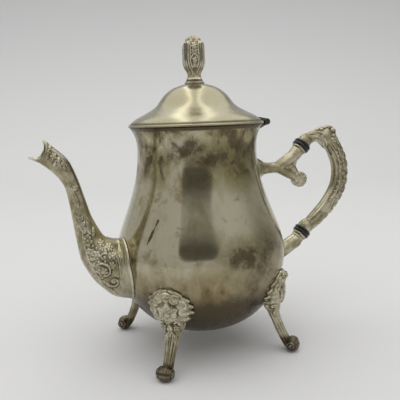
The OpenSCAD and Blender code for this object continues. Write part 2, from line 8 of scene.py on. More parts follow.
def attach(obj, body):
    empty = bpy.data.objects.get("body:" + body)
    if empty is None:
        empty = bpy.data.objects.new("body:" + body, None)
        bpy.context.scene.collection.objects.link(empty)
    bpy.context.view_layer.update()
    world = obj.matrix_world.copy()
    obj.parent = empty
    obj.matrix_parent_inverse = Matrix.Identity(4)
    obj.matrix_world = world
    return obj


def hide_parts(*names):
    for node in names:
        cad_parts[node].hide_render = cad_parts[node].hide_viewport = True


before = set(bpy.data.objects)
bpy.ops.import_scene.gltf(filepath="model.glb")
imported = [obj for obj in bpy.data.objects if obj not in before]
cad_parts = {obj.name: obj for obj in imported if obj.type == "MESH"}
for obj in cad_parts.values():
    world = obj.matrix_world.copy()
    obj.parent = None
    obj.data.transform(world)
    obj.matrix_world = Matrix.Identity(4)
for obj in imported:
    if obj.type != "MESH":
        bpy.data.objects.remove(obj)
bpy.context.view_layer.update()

# ---- sizes in millimetres, from the pot's own axis

AXIS_X = -9.8  # pot's axis in the shared frame
BELLY_R, BELLY_Z = 69.0, 80.0
NECK_R, NECK_Z = 47.8, 163.0
MOUTH_R, MOUTH_Z = 52.7, 180.0
BASE_Z, KEEL_Z, WALL = 21.0, 15.0, 1.2
KEEL_IN, KEEL_OUT, SHOULDER, FLARE = 1.97, 2.44, 0.8, 2.4  # powers in the body's outline
LID_R, LID_WALL, DOME_H = 54.0, 1.1, 30.4
LID_Z = MOUTH_Z + 0.3
BEAD_R = 1.15  # roll at the lid's edge
CROWN_Z = LID_Z + 2 * BEAD_R + DOME_H
CROWN_R, COLLAR_H, STUD_R = 7.0, 5.0, 2.0
BUD_R, BUD_H, LEAVES, BUD_TURN = 9.8, 32.0, 4, -17
SPOUT_REACH, SPOUT_TOP, SPOUT_ROOT = 130.4, 175.0, 72.0
SPOUT_WALL, LIP_WALL, BEAK, SPOUT_SIDES = 1.9, 1.25, 6.0, 200
FOOT_H, FOOT_W = 25.0, 21.5  # half height and width of the spout's foot
UPPER_Z, LOWER_Z, BREAK_X = 159.0, 81.6, 100.4  # heat breaks
BREAK_R, BREAK_T, SOCKET_R, LEAN = 7.8, 5.6, 6.6, 45.0
HANDLE_REACH, GRIP_R, GRIP_FLAT = 150.0, 8.0, 0.86
CREST_H, CREST_AT = 6.0, 0.265
STAND_R, TOE_R, TOE_W = 76.5, 5.9, 6.9
SHELL_W, SHELL_TOP, SHELL_SHARE = 20.0, 66.0, 7 / 13
KNUCKLE_R, HINGE_W, KNUCKLE_GAP = 2.6, 17.0, 0.3
KNOB_R, KNOB_W = 3.2, 4.7  # small scroll at a shell's top
SEAT_GAP, FUSED_GAP = 0.3, 0.12  # castings stand this far off the belly
FUSE_VOXEL = 0.33
BREAK_DIR = np.array([math.sin(math.radians(LEAN)), math.cos(math.radians(LEAN))])


def ramp(x, low, high):
    return np.clip((np.asarray(x, float) - low) / (high - low), 0, 1)


def ease(x, low, high):
    k = ramp(x, low, high)
    return k * k * (3 - 2 * k)


def bell(x, middle, width):
    return np.exp(-((np.asarray(x, float) - middle) / width) ** 2)


def mix(a, b, k):
    return a * (1 - k) + b * k


def circle(count, hand=1):
    return hand * 2 * math.pi * np.arange(count) / count


def points(x, y, z):
    """Points from coordinates that may be numbers, rows or columns."""
    return np.stack(np.broadcast_arrays(x, y, z), -1).astype(float)


def unit(v):
    return v / np.maximum(np.linalg.norm(v, axis=-1, keepdims=True), 1e-9)


def spline(rows, t):
    """Smooth curve through the rows, at each share t of the way along their list."""
    p, t = np.asarray(rows, float), np.atleast_1d(np.asarray(t, float))
    n = len(p) - 1
    s = np.minimum(t * n, n - 1e-6)
    i = np.floor(s).astype(int)
    u = (s - i)[:, None]
    a, b, c, d = p[np.maximum(i - 1, 0)], p[i], p[i + 1], p[np.minimum(i + 2, n)]
    return (b + u * (c - a) / 2 + u**2 * (2 * a - 5 * b + 4 * c - d) / 2
            + u**3 * (3 * b - 3 * c + d - a) / 2)


def body_r(z):
    """Outer radius of the body at height z: round keel, cosine shoulder, flared mouth."""
    z = np.asarray(z, float)
    low = BELLY_R * (1 - ramp(BELLY_Z - z, 0, BELLY_Z - KEEL_Z) ** KEEL_IN) ** (1 / KEEL_OUT)
    turn = ramp(z, BELLY_Z, NECK_Z) ** SHOULDER
    shoulder = mix(NECK_R, BELLY_R, (1 + np.cos(math.pi * turn)) / 2)
    rise = np.maximum(z - NECK_Z, 0) ** FLARE / (MOUTH_Z - NECK_Z) ** FLARE
    flare = NECK_R + (MOUTH_R - NECK_R) * rise
    return np.where(z < BELLY_Z, low, np.where(z < NECK_Z, shoulder, flare))


# ---- meshes

def sheet_normals(rings):
    """Outward normals of rings of points, each ring closed."""
    around = np.roll(rings, -1, axis=1) - np.roll(rings, 1, axis=1)
    n = unit(np.cross(around, np.gradient(rings, axis=0)))
    away = rings - rings.mean(axis=1, keepdims=True)
    return n if (n * away).sum() > 0 else -n


def skin(rings, looped=False):
    """Vertices and faces of closed rings: open ends get a middle point, a loop joins up."""
    rows, cols, _ = rings.shape
    verts = rings.reshape(-1, 3)
    i, j = np.mgrid[0:rows if looped else rows - 1, 0:cols]
    k, m = (i + 1) % rows, (j + 1) % cols
    quads = np.stack([i * cols + j, i * cols + m, k * cols + m, k * cols + j], -1)
    faces = quads.reshape(-1, 4).tolist()
    if not looped:
        top, last = len(verts), (rows - 1) * cols
        verts = np.vstack([verts, rings[0].mean(axis=0), rings[-1].mean(axis=0)])
        for a in range(cols):
            b = (a + 1) % cols
            faces += [[top, b, a], [top + 1, last + a, last + b]]
    return verts, faces


def join(*parts):
    verts, faces, start = [], [], 0
    for v, f in parts:
        verts.append(v)
        faces += [[start + i for i in face] for face in f]
        start += len(v)
    return np.vstack(verts), faces


def read(items, key, width=3):
    """One property of a mesh's vertices, edges or triangles, as rows of an array."""
    flat = np.empty(len(items) * width, int if key == "vertices" else float)
    items.foreach_get(key, flat)
    return flat.reshape(-1, width)


def add_object(name, data):
    obj = bpy.data.objects.new(name, data)
    bpy.context.scene.collection.objects.link(obj)
    return obj


def make_object(name, verts, faces, placed=True):
    """Object of millimetre points. A placed one is moved from the pot's axis to the frame."""
    places = np.array(verts, float) + ([AXIS_X, 0, 0] if placed else [0, 0, 0])
    mesh = bpy.data.meshes.new(name)
    mesh.from_pydata((places * 0.001).tolist(), [], faces)
    mesh.update()
    return add_object(name, mesh)


def outward(obj):
    """Turns a closed mesh's faces outwards, judged by its volume."""
    mesh = obj.data
    mesh.calc_loop_triangles()
    corners = read(mesh.vertices, "co")[read(mesh.loop_triangles, "vertices")]
    a, b, c = corners.transpose(1, 0, 2)
    if (a * np.cross(b, c)).sum() < 0:
        mesh.flip_normals()
    return obj


def facing_out(shells):
    """Joins closed shells of rings, each with its faces turned outwards."""
    sound = []
    for rings in shells:
        obj = outward(make_object("shell", *skin(rings), placed=False))
        faces = [list(p.vertices) for p in obj.data.polygons]
        sound.append((read(obj.data.vertices, "co") * 1000, faces))
        bpy.data.objects.remove(obj)
    return join(*sound)


def settle(obj):
    """Replaces an object's mesh by what its modifiers make of it, and drops them."""
    depsgraph = bpy.context.evaluated_depsgraph_get()
    mesh = bpy.data.meshes.new_from_object(obj.evaluated_get(depsgraph))
    obj.modifiers.clear()
    old, obj.data = obj.data, mesh
    bpy.data.meshes.remove(old)
    mesh.name = obj.name
    return obj


def mark_hollows(obj, passes=9, reach=0.35):
    """Writes how deep each point lies under its smoothed surface, 0 to 1, as 'hollow'."""
    mesh = obj.data
    n = len(mesh.vertices)
    co = read(mesh.vertices, "co") * 1000
    a, b = read(mesh.edges, "vertices", 2).T
    ends, others = np.r_[a, b], np.r_[b, a]
    count = np.maximum(np.bincount(ends, minlength=n), 1)[:, None]
    soft = co.copy()
    for _ in range(passes):
        total = np.stack([np.bincount(ends, axis[others], n) for axis in soft.T], -1)
        soft = 0.3 * soft + 0.7 * total / count
    depth = ((soft - co) * read(mesh.vertices, "normal")).sum(axis=1)
    share = np.clip(0.5 + depth / (2 * reach), 0, 1)
    layer = mesh.attributes.new("hollow", "FLOAT", "POINT")
    layer.data.foreach_set("value", share.astype(np.float32))
    return obj


def smooth(obj, angle=60):
    obj.data.polygons.foreach_set("use_smooth", [True] * len(obj.data.polygons))
    obj.data.set_sharp_from_angle(angle=math.radians(angle))
    return obj


def fit(obj, material, body, node):
    """Gives a finished piece its material, its body and the solid that it stands for."""
    obj.data.materials.clear()
    obj.data.materials.append(material)
    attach(obj, body)
    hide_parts(node)


def fit_casting(name, shape, material, node, body="pot"):
    obj = smooth(outward(make_object(name, *shape)))
    fit(mark_hollows(obj), material, body, node)


# ---- carving

def raise_to(part, height):
    np.maximum(part, height, out=part)


class Carving:
    """Relief drawn on a flat sheet in millimetres, and later laid over a casting."""

    def __init__(self, low, high, step=0.14):
        self.low, self.step = np.array(low, float), step
        self.size = np.ceil((np.array(high, float) - self.low) / step).astype(int) + 2
        self.height = np.zeros(self.size)

    def window(self, x0, x1, y0, y1):
        """Part of the sheet between two corners, with the places of its points."""
        cells = [((np.array(p) - self.low) / self.step).astype(int) for p in ((x0, y0), (x1, y1))]
        a, b = np.clip(cells[0], 0, self.size - 1), np.clip(cells[1] + 2, 1, self.size)
        x, y = (self.low[k] + self.step * np.arange(a[k], b[k]) for k in (0, 1))
        return self.height[a[0]:b[0], a[1]:b[1]], x[:, None], y[None, :]

    def around(self, x0, y0, r):
        """Part of the sheet round a point, with the places of its points from there."""
        part, x, y = self.window(x0 - r, x0 + r, y0 - r, y0 + r)
        return part, x - x0, y - y0

    def stroke(self, line, width, height):
        """Rounded cord along a line; width and height may change along it."""
        line = np.asarray(line, float)
        wide, high = (np.broadcast_to(np.asarray(v, float), (len(line),)) for v in (width, height))
        for k in range(len(line) - 1):
            (x0, y0), (x1, y1), w = line[k], line[k + 1], max(wide[k], wide[k + 1])
            part, x, y = self.window(min(x0, x1) - w, max(x0, x1) + w,
                                     min(y0, y1) - w, max(y0, y1) + w)
            dx, dy = x1 - x0, y1 - y0
            share = np.clip(((x - x0) * dx + (y - y0) * dy) / (dx * dx + dy * dy + 1e-9), 0, 1)
            far = np.hypot(x - x0 - share * dx, y - y0 - share * dy)
            w_here, h_here = mix(wide[k], wide[k + 1], share), mix(high[k], high[k + 1], share)
            raise_to(part, h_here * np.sqrt(np.clip(1 - (far / w_here) ** 2, 0, 1)))

    def ball(self, x0, y0, r, height):
        part, x, y = self.around(x0, y0, r)
        raise_to(part, height * np.sqrt(np.clip(1 - (x**2 + y**2) / r**2, 0, 1)))

    def scroll(self, x0, y0, r, start, turns, width, height, hand=1):
        """C-scroll that winds in to an eye."""
        k = np.linspace(0, 1, int(14 * abs(turns)) + 6)
        a = np.radians(start) + hand * 2 * math.pi * turns * k
        radius = r * (1 - 0.82 * k)
        line = np.c_[x0 + radius * np.cos(a), y0 + radius * np.sin(a)]
        self.stroke(line, mix(width, 0.55 * width, k), mix(height, 0.8 * height, k))
        self.ball(x0, y0, 0.24 * r + 0.2, height * 1.1)

    def flower(self, x0, y0, r, petals, height, turn=0.0):
        """Open flower: cupped petals round a berry."""
        part, x, y = self.around(x0, y0, r)
        far, a = np.hypot(x, y), np.arctan2(y, x) + math.radians(turn)
        lobe = np.abs(np.cos(petals * a / 2))
        edge = r * (0.62 + 0.38 * lobe ** 0.6)
        cup = np.clip(1 - (far / edge) ** 4, 0, 1) * (0.45 + 0.55 * (far / r))
        raise_to(part, height * (cup * (0.55 + 0.45 * lobe)))
        self.ball(x0, y0, 0.3 * r, height * 0.95)

    def leaf(self, x0, y0, turn, length, width, height, veins=4):
        """Pointed leaf from its stem at (x0, y0), with a midrib and side veins."""
        part, x, y = self.around(x0, y0, length)
        c, s = math.cos(math.radians(turn)), math.sin(math.radians(turn))
        u, v = (x * c + y * s) / length, -x * s + y * c
        inside = np.clip(u, 0, 1)
        scallop = 1 + 0.12 * np.cos(2 * math.pi * veins * inside)
        half = width * np.sin(math.pi * inside ** 0.75) * scallop
        dome = np.clip(1 - (np.abs(v) / np.maximum(half, 1e-3)) ** 2, 0, 1) ** 0.6
        rib = 1 - 0.38 * np.exp(-(v / 0.32) ** 2)
        side = 1 - 0.3 * np.cos(math.pi * veins * 2 * (inside - 0.5 * np.abs(v) / width)) ** 8
        raise_to(part, np.where((u > 0) & (u < 1), height * dome * rib * side, 0))

    def softened(self):
        for axis in (0, 1):
            before, after = np.roll(self.height, 1, axis), np.roll(self.height, -1, axis)
            self.height = (before + 2 * self.height + after) / 4
        return self

    def at(self, x, y):
        """Height at points of the sheet; 0 off its edges."""
        x, y = np.broadcast_arrays(x, y)
        fx, fy = (x - self.low[0]) / self.step, (y - self.low[1]) / self.step
        ok = (fx > 0) & (fy > 0) & (fx < self.size[0] - 2) & (fy < self.size[1] - 2)
        fx, fy = np.where(ok, fx, 0), np.where(ok, fy, 0)
        i, j = fx.astype(int), fy.astype(int)
        u, v, h = fx - i, fy - j, self.height
        value = ((1 - u) * ((1 - v) * h[i, j] + v * h[i, j + 1])
                 + u * ((1 - v) * h[i + 1, j] + v * h[i + 1, j + 1]))
        return np.where(ok, value, 0)


# ---- node trees

class Wire:
    """A socket in a node tree. Sums and products of wires make Math nodes."""

    def __init__(self, tree, socket=None):
        self.tree, self.socket = tree, socket

    def make(self, kind, inputs=None, out=0, **settings):
        """New node: its settings first, then its inputs. Gives the wire of one output."""
        node = self.tree.nodes.new(kind)
        for key, value in settings.items():
            setattr(node, key, value)
        for key, value in (inputs or {}).items():
            if isinstance(value, Wire):
                self.tree.links.new(value.socket, node.inputs[key])
            else:
                node.inputs[key].default_value = value
        return Wire(self.tree, node.outputs[out])

    def maths(self, operation, *others, clamp=False):
        values = dict(enumerate((self, *others)))
        return self.make("ShaderNodeMath", values, operation=operation, use_clamp=clamp)

    def vector(self, operation, other, out=0):
        return self.make("ShaderNodeVectorMath", {0: self, 1: other}, out, operation=operation)

    def __add__(self, other):
        return self.maths("ADD", other)

    def __sub__(self, other):
        return self.maths("SUBTRACT", other)

    def __mul__(self, other):
        return self.maths("MULTIPLY", other)

    def __truediv__(self, other):
        return self.maths("DIVIDE", other)

    def __pow__(self, other):
        return self.maths("POWER", other)

    __radd__, __rmul__ = __add__, __mul__

    def __rsub__(self, other):
        return self.make("ShaderNodeMath", {0: other, 1: self}, operation="SUBTRACT")

    def between(self, low, high, kind="SMOOTHSTEP"):
        """0 below low, 1 above high, and eased in between."""
        return self.make("ShaderNodeMapRange", {0: self, 1: low, 2: high, 3: 0.0, 4: 1.0},
                         interpolation_type=kind)

    def band(self, a, b, c, d):
        """0 below a, 1 from b to c, and 0 again above d."""
        return self.between(a, b) * (1 - self.between(c, d))

    def mixed(self, a, b):
        """Colour between a and b, with this wire as the share of b."""
        a, b = (c if isinstance(c, Wire) else (*c, 1) for c in (a, b))
        return self.make("ShaderNodeMix", {0: self, 6: a, 7: b}, out=2, data_type="RGBA")

    def moved(self, offset):
        return self.vector("ADD", offset)

    def stretched(self, factors):
        return self.vector("MULTIPLY", factors)

    def parts(self):
        node = self.make("ShaderNodeSeparateXYZ", {0: self}).socket.node
        return [Wire(self.tree, s) for s in node.outputs]


def rule_tree(name, inputs):
    """Geometry node tree with named inputs; gives the tree and its input wires by name."""
    tree = bpy.data.node_groups.new(name, "GeometryNodeTree")
    face = tree.interface
    for way in ("INPUT", "OUTPUT"):
        face.new_socket("Geometry", in_out=way, socket_type="NodeSocketGeometry")
    for label, kind, value in inputs:
        item = face.new_socket(label, in_out="INPUT", socket_type="NodeSocket" + kind)
        if value is not None:
            item.default_value = value
    start = tree.nodes.new("NodeGroupInput")
    return tree, Wire(tree), {s.name: Wire(tree, s) for s in start.outputs if s.name}


def rule_end(tree, geometry, material):
    """Realizes the instances, gives the material and joins up the tree's output."""
    real = geometry.make("GeometryNodeRealizeInstances", {0: geometry})
    done = real.make("GeometryNodeSetMaterial", {"Geometry": real, "Material": material})
    tree.links.new(done.socket, tree.nodes.new("NodeGroupOutput").inputs[0])
    return tree


def apply_rule(obj, tree, **values):
    """Hangs a tree on an object, with its inputs set by the names they carry."""
    modifier = obj.modifiers.new(tree.name, "NODES")
    modifier.node_group = tree
    names = {item.name: item.identifier for item in tree.interface.items_tree
             if item.in_out == "INPUT"}
    for label, value in values.items():
        modifier[names[label.replace("_", " ")]] = value


def grid_places(start, across, along):
    """Grid of unit size, with wires for how far across and along each point lies."""
    grid = start.make("GeometryNodeMeshGrid", {0: 1.0, 1: 1.0, 2: across, 3: along})
    x, y, _ = start.make("GeometryNodeInputPosition").parts()
    return grid, x + 0.5, y + 0.5


def sweep_to(start, grid, radius, angle, height):
    """Sets a grid's points round the Z axis and closes the seam."""
    place = start.make("ShaderNodeCombineXYZ", {
        0: radius * angle.maths("COSINE"), 1: radius * angle.maths("SINE"), 2: height})
    shaped = start.make("GeometryNodeSetPosition", {"Geometry": grid, "Position": place})
    return start.make("GeometryNodeMergeByDistance", {"Geometry": shaped, "Distance": 0.00002})


def pot_body_tree(material):
    """Spun body by rule: keel curve, cosine shoulder, flared mouth, turned-in base flange."""
    tree, start, i = rule_tree("Pot body", [
        ("Belly radius", "Float", BELLY_R * 1e-3), ("Belly height", "Float", BELLY_Z * 1e-3),
        ("Neck radius", "Float", NECK_R * 1e-3), ("Neck height", "Float", NECK_Z * 1e-3),
        ("Mouth radius", "Float", MOUTH_R * 1e-3), ("Mouth height", "Float", MOUTH_Z * 1e-3),
        ("Base height", "Float", BASE_Z * 1e-3), ("Flange width", "Float", 4e-3),
        ("Unevenness", "Float", 0.22e-3), ("Segments", "Int", 240), ("Rings", "Int", 150)])
    grid, across, along = grid_places(start, i["Segments"] + 1, i["Rings"])
    flange = 0.03  # share of the rings in the flange
    belly_z, neck_z, mouth_z = i["Belly height"], i["Neck height"], i["Mouth height"]
    z = i["Base height"] + along.between(flange, 1.0, "LINEAR") * (mouth_z - i["Base height"])
    keel = ((belly_z - z) / (belly_z - KEEL_Z * 1e-3)).maths("MAXIMUM", 0.0)
    low = i["Belly radius"] * (1 - keel ** KEEL_IN) ** (1 / KEEL_OUT)
    wave = z.between(belly_z, neck_z, "LINEAR") ** SHOULDER * math.pi
    swell = (i["Belly radius"] - i["Neck radius"]) * (1 + wave.maths("COSINE")) / 2
    flare = z.between(neck_z, mouth_z, "LINEAR") ** FLARE
    high = i["Neck radius"] + swell + (i["Mouth radius"] - i["Neck radius"]) * flare
    over = z.maths("GREATER_THAN", belly_z)
    radius = low * (1 - over) + high * over
    radius = radius - (1 - along.between(0.0, flange, "LINEAR")) * i["Flange width"]
    angle = across * (2 * math.pi)
    # the seam has the same place twice, so noise by place keeps it closed
    place = start.make("ShaderNodeCombineXYZ", {
        0: angle.maths("COSINE"), 1: angle.maths("SINE"), 2: z * 22.0})
    dents = start.make("ShaderNodeTexNoise", {
        "Vector": place, "Scale": 2.1, "Detail": 2.0, "Roughness": 0.45, "Distortion": 0.3})
    hold = z.band(0.024, 0.045, 0.165, 0.175)
    radius = radius + (dents - 0.62) * i["Unevenness"] * hold
    closed = sweep_to(start, grid, radius, angle, z)
    moved = start.make("GeometryNodeSetPosition", {
        "Geometry": closed, "Offset": (AXIS_X * 1e-3, 0, 0)})
    return rule_end(tree, moved, material)


def turned_tree():
    """Turned piece by rule: the mesh that comes in is a row of points, the piece's outline."""
    tree, start, i = rule_tree("Turned piece", [
        ("Segments", "Int", 160), ("Tilt", "Float", 0.0), ("Centre", "Vector", (0, 0, 0)),
        ("Material", "Material", None)])
    count = start.make("GeometryNodeAttributeDomainSize", {0: i["Geometry"]})
    grid, across, along = grid_places(start, i["Segments"] + 1, count + 1)
    row = (along * count).maths("ROUND").maths("MODULO", count)  # it ends where it starts
    point = start.make("GeometryNodeSampleIndex", {
        "Geometry": i["Geometry"], 1: start.make("GeometryNodeInputPosition"), "Index": row},
        data_type="FLOAT_VECTOR")
    radius, _, height = point.parts()
    closed = sweep_to(start, grid, radius, across * (2 * math.pi), height)
    turn = start.make("ShaderNodeCombineXYZ", {1: i["Tilt"]})
    placed = start.make("GeometryNodeTransform", {
        "Geometry": closed, "Translation": i["Centre"], "Rotation": turn})
    return rule_end(tree, placed, i["Material"])


def punches_tree(material):
    """Strainer's punches by rule: rods in offset rows, kept inside an oval."""
    tree, start, i = rule_tree("Strainer punches", [
        ("Hole radius", "Float", 2e-3), ("Pitch", "Float", 7e-3), ("Centre", "Vector", (0, 0, 0)),
        ("Half width", "Float", 14.5e-3), ("Half height", "Float", 17e-3)])
    grid, across, along = grid_places(start, 7, 5)
    column, row = across * 6 - 3, along * 4 - 2
    odd = row.maths("ABSOLUTE").maths("MODULO", 2.0).maths("ROUND")
    y, z = (column + odd * 0.5) * i["Pitch"], row * i["Pitch"] * 0.87
    laid = start.make("GeometryNodeSetPosition", {
        "Geometry": grid, "Position": start.make("ShaderNodeCombineXYZ", {1: y, 2: z})})
    _, y, z = start.make("GeometryNodeInputPosition").parts()
    far = (y / i["Half width"]) ** 2 + (z / i["Half height"]) ** 2
    points_in = start.make("GeometryNodeMeshToPoints", {
        "Mesh": laid, "Selection": 1 - far.maths("GREATER_THAN", 1.0)})
    rod = start.make("GeometryNodeMeshCylinder", {
        "Vertices": 32, "Radius": i["Hole radius"], "Depth": 0.03})
    turned_in = start.make("GeometryNodeInstanceOnPoints", {
        "Points": points_in, "Instance": rod, "Rotation": (0, math.pi / 2, 0)})
    placed = start.make("GeometryNodeTransform", {
        "Geometry": turned_in, "Translation": i["Centre"]})
    return rule_end(tree, placed, material)


# ---- materials

CLEAN = (0.50, 0.465, 0.345)
TARNISHED = (0.33, 0.29, 0.175)
BROWN = (0.105, 0.083, 0.05)
BLACK = (0.022, 0.019, 0.014)
CAST_CLEAN, CAST_DULL = (0.47, 0.435, 0.315), (0.27, 0.235, 0.14)
CAST_BROWN, CAST_RUBBED = (0.085, 0.066, 0.042), (0.68, 0.645, 0.52)


def new_material(name):
    """Empty material, with its shader node and a wire of the piece's own coordinates."""
    material = bpy.data.materials.new(name)
    material.use_nodes = True
    tree = material.node_tree
    place = Wire(tree).make("ShaderNodeTexCoord", out=3)
    return material, tree.nodes["Principled BSDF"], place


def plug(shader, **values):
    """Sets a shader's inputs: a wire is joined on, a number or colour is set."""
    for label, value in values.items():
        socket = shader.inputs[label.replace("_", " ")]
        if isinstance(value, Wire):
            value.tree.links.new(value.socket, socket)
        else:
            socket.default_value = value


def finish(shader, colour, rough, relief, strength, depth, metallic=1.0):
    """Joins a surface's colour, roughness and relief to its shader."""
    bump = relief.make("ShaderNodeBump", {
        "Strength": strength, "Distance": depth, "Height": relief})
    plug(shader, Base_Color=colour, Roughness=rough, Metallic=metallic, Normal=bump)


def clouds(place, size, detail=4.0, rough=0.55, warp=0.0, shift=(0, 0, 0)):
    """Soft noise whose lumps are about this many millimetres across."""
    return place.make("ShaderNodeTexNoise", {
        "Vector": place.moved(shift), "Scale": 1000.0 / size, "Detail": detail,
        "Roughness": rough, "Distortion": warp})


def patch(place, x, y, z, r, squash=(1, 1, 1)):
    """1 at a point of the object, fading to 0 at r; distances may be squashed per axis."""
    near = place.moved(tuple(-0.001 * v for v in (x + AXIS_X, y, z)))
    far = near.stretched(tuple(1.0 / s for s in squash)).vector("LENGTH", (0, 0, 0), 1)
    return 1 - far.between(0.0, 0.001 * r)


def line_stain(place, start_at, end_at, width, ragged):
    """1 on a line between two points of the belly, ragged by a noise, 0 beside it."""
    a, b = (np.array([p[0] + AXIS_X, p[1], p[2]]) * 1e-3 for p in (start_at, end_at))
    near = place.moved(tuple(-a))
    share = near.vector("DOT_PRODUCT", tuple((b - a) / np.dot(b - a, b - a)), 1)
    share = share.maths("MAXIMUM", 0.0).maths("MINIMUM", 1.0)
    step = place.make("ShaderNodeVectorMath", {0: tuple(b - a), "Scale": share}, operation="SCALE")
    gap = near.vector("DISTANCE", step, 1)
    return 1 - (gap * 1000 + (ragged - 0.5) * width * 4).between(width * 0.5, width)


def scratches(place, size, stretch, turn, shift):
    """Hair scratches: noise pulled long, kept only at its crest."""
    run = place.make("ShaderNodeMapping", {
        "Vector": place, "Rotation": turn, "Scale": stretch, "Location": shift})
    return 1 - (clouds(run, size, 1.0, 0.4) - 0.5).maths("ABSOLUTE").between(0.0, 0.012)


def plate_material(name, marks, age, polish, dents):
    """Silver plate that was polished long ago: bloom, tarnish, spots and hair scratches."""
    material, shader, place = new_material(name)
    bloom = clouds(place, 34, 5.0, 0.6, 0.6)
    mottle = clouds(place, 7, 4.0, 0.65, 0.3, (3, 1, 2))
    specks = clouds(place, 1.1, 2.0, 0.5, 0.0, (7, 5, 1))
    wear = bloom * 0.6 + mottle * 0.4
    tarnish = wear.between(0.60 - age, 0.76 - age) * (0.25 + 2.2 * age)
    # the body's and lid's marks hold painted shade as well as tarnish; both darken the colour the
    # same way
    spots, tints = marks(place, bloom, mottle)
    for spot in spots:
        tarnish = tarnish.maths("MAXIMUM", spot)
    tarnish = tarnish.maths("ADD", (mottle - 0.5) * (0.2 + 2.5 * age), clamp=True)
    pits = specks.between(0.66, 0.72) * (0.03 + tarnish * 0.75)
    colour = tarnish.between(0.0, 0.55).mixed(CLEAN, TARNISHED)
    for share, tint in tints:
        colour = share.mixed(colour, tint)
    colour = pits.mixed(tarnish.between(0.45, 0.94).mixed(colour, BROWN), BROWN)
    hairs = scratches(place, 26, (1, 1, 7), (0.3, 0.5, 0.2), (1, 2, 3)).maths(
        "MAXIMUM", scratches(place, 22, (6, 1, 1), (0.2, 0.9, 0.7), (5, 1, 2)))
    rough = polish + tarnish * 0.16 + pits * 0.1 + hairs * 0.06 + (mottle - 0.5) * 0.08
    relief = mottle * 0.2 + bloom * 0.6 - hairs * 0.04 - pits * 0.2
    finish(shader, colour, rough, relief, dents, 0.0003)
    return material


def cast_material(name, dark, polish=0.24, marks=None):
    """Cast and plated: bright on the crests, black patina left in the hollows."""
    material, shader, place = new_material(name)
    hollow = place.make("ShaderNodeAttribute", out=2, attribute_name="hollow")
    grime = clouds(place, 5, 4.0, 0.6, 0.4, (2, 6, 4))
    grain = clouds(place, 0.8, 3.0, 0.6, 0.0, (4, 4, 1))
    bloom = clouds(place, 16, 3.0, 0.5, 0.3, (9, 2, 5))
    deep = (hollow + (grime - 0.5) * 0.35).between(0.52, 0.80) * dark
    film = (bloom * 0.6 + grime * 0.4).between(0.40, 0.62) * 0.7
    for spot in marks(place, grime) if marks else []:
        film = film.maths("MAXIMUM", spot)
    colour = (film * 1.6).maths("MINIMUM", 1.0).mixed(CAST_CLEAN, CAST_DULL)
    colour = film.between(0.62, 1.0).mixed(colour, CAST_BROWN)
    rubbed = (1 - hollow.between(0.22, 0.46)) * (1 - film * 0.6) * 0.7
    colour = rubbed.mixed(deep.mixed(colour, BLACK), CAST_RUBBED)
    rough = polish + deep * 0.35 + (grain - 0.5) * 0.16 + film * 0.12
    finish(shader, colour, rough, grain * 0.6 + grime, 0.4, 0.00012)
    return material


def fitting_material(name, clean, dull, polish):
    """Small turned and bent fittings: grain drawn out like tool rings, and grime in patches."""
    material, shader, place = new_material(name)
    grime = clouds(place, 4, 5.0, 0.6, 0.5, (1, 8, 3))
    grain = clouds(place.stretched((1, 1, 9)), 2.2, 3.0, 0.6, 0.0, (6, 2, 7))
    share = grime.between(0.40, 0.62)
    rough = polish + share * 0.22 + (grain - 0.5) * 0.18
    finish(shader, share.mixed(clean, dull), rough, grain + grime * 0.6, 0.35, 0.0001)
    return material


def heat_break_material():
    """Black washers of the handle: turned and polished, greyed where hands rub them."""
    material, shader, place = new_material("Heat break fibre")
    grain = clouds(place, 1.2, 3.0, 0.6, 0.0, (3, 3, 3))
    worn = clouds(place, 5, 4.0, 0.6, 0.3, (2, 7, 1)).between(0.52, 0.74)
    rough = 0.20 + worn * 0.22 + (grain - 0.5) * 0.12
    colour = worn.mixed((0.009, 0.009, 0.009), (0.045, 0.042, 0.037))
    finish(shader, colour, rough, grain + worn * 0.4, 0.3, 0.0001, metallic=0.0)
    return material


# middle of a stain from the pot's axis, its reach, its squash per axis, its depth
BODY_STAINS = (
    (-24, -41, 168, 11, (1, 1, 1), 0.95), (-10, -47, 157, 18, (1.3, 1, 0.8), 1.1),
    (-17, -45, 163, 22, (1.2, 1, 0.8), 0.85), (-2, -48, 158, 28, (1.2, 1, 1), 0.90),
    (-45, -15, 161, 9, (1, 1.2, 1), 0.9), (-40, -27, 158, 17, (1, 1, 0.7), 0.6),
    (11, -47, 153, 26, (1, 1, 1.4), 0.92), (7, -68, 86, 32, (1.2, 1, 0.8), 1.06),
    (32, -60, 92, 28, (1, 1, 1), 0.8), (-54, -41, 85, 10, (1, 1, 0.6), 0.65),
    (-55, -33, 56, 15, (0.8, 1, 1.2), 0.95), (2, -66, 62, 20, (1.3, 1, 0.7), 0.6),
    (20, -65, 81, 38, (1, 1, 0.9), 0.98), (44, -50, 86, 34, (1, 1, 1), 0.8),
    (-5, -68, 76, 28, (1.2, 1, 0.8), 0.65), (30, -58, 70, 34, (1, 1, 0.8), 0.8),
    (-46, -20, 160, 12, (1, 1.3, 0.8), 0.8), (26, -60, 104, 16, (0.6, 1, 1.6), 0.5),
    (-12, -63, 98, 12, (0.5, 1, 1.6), 0.5))


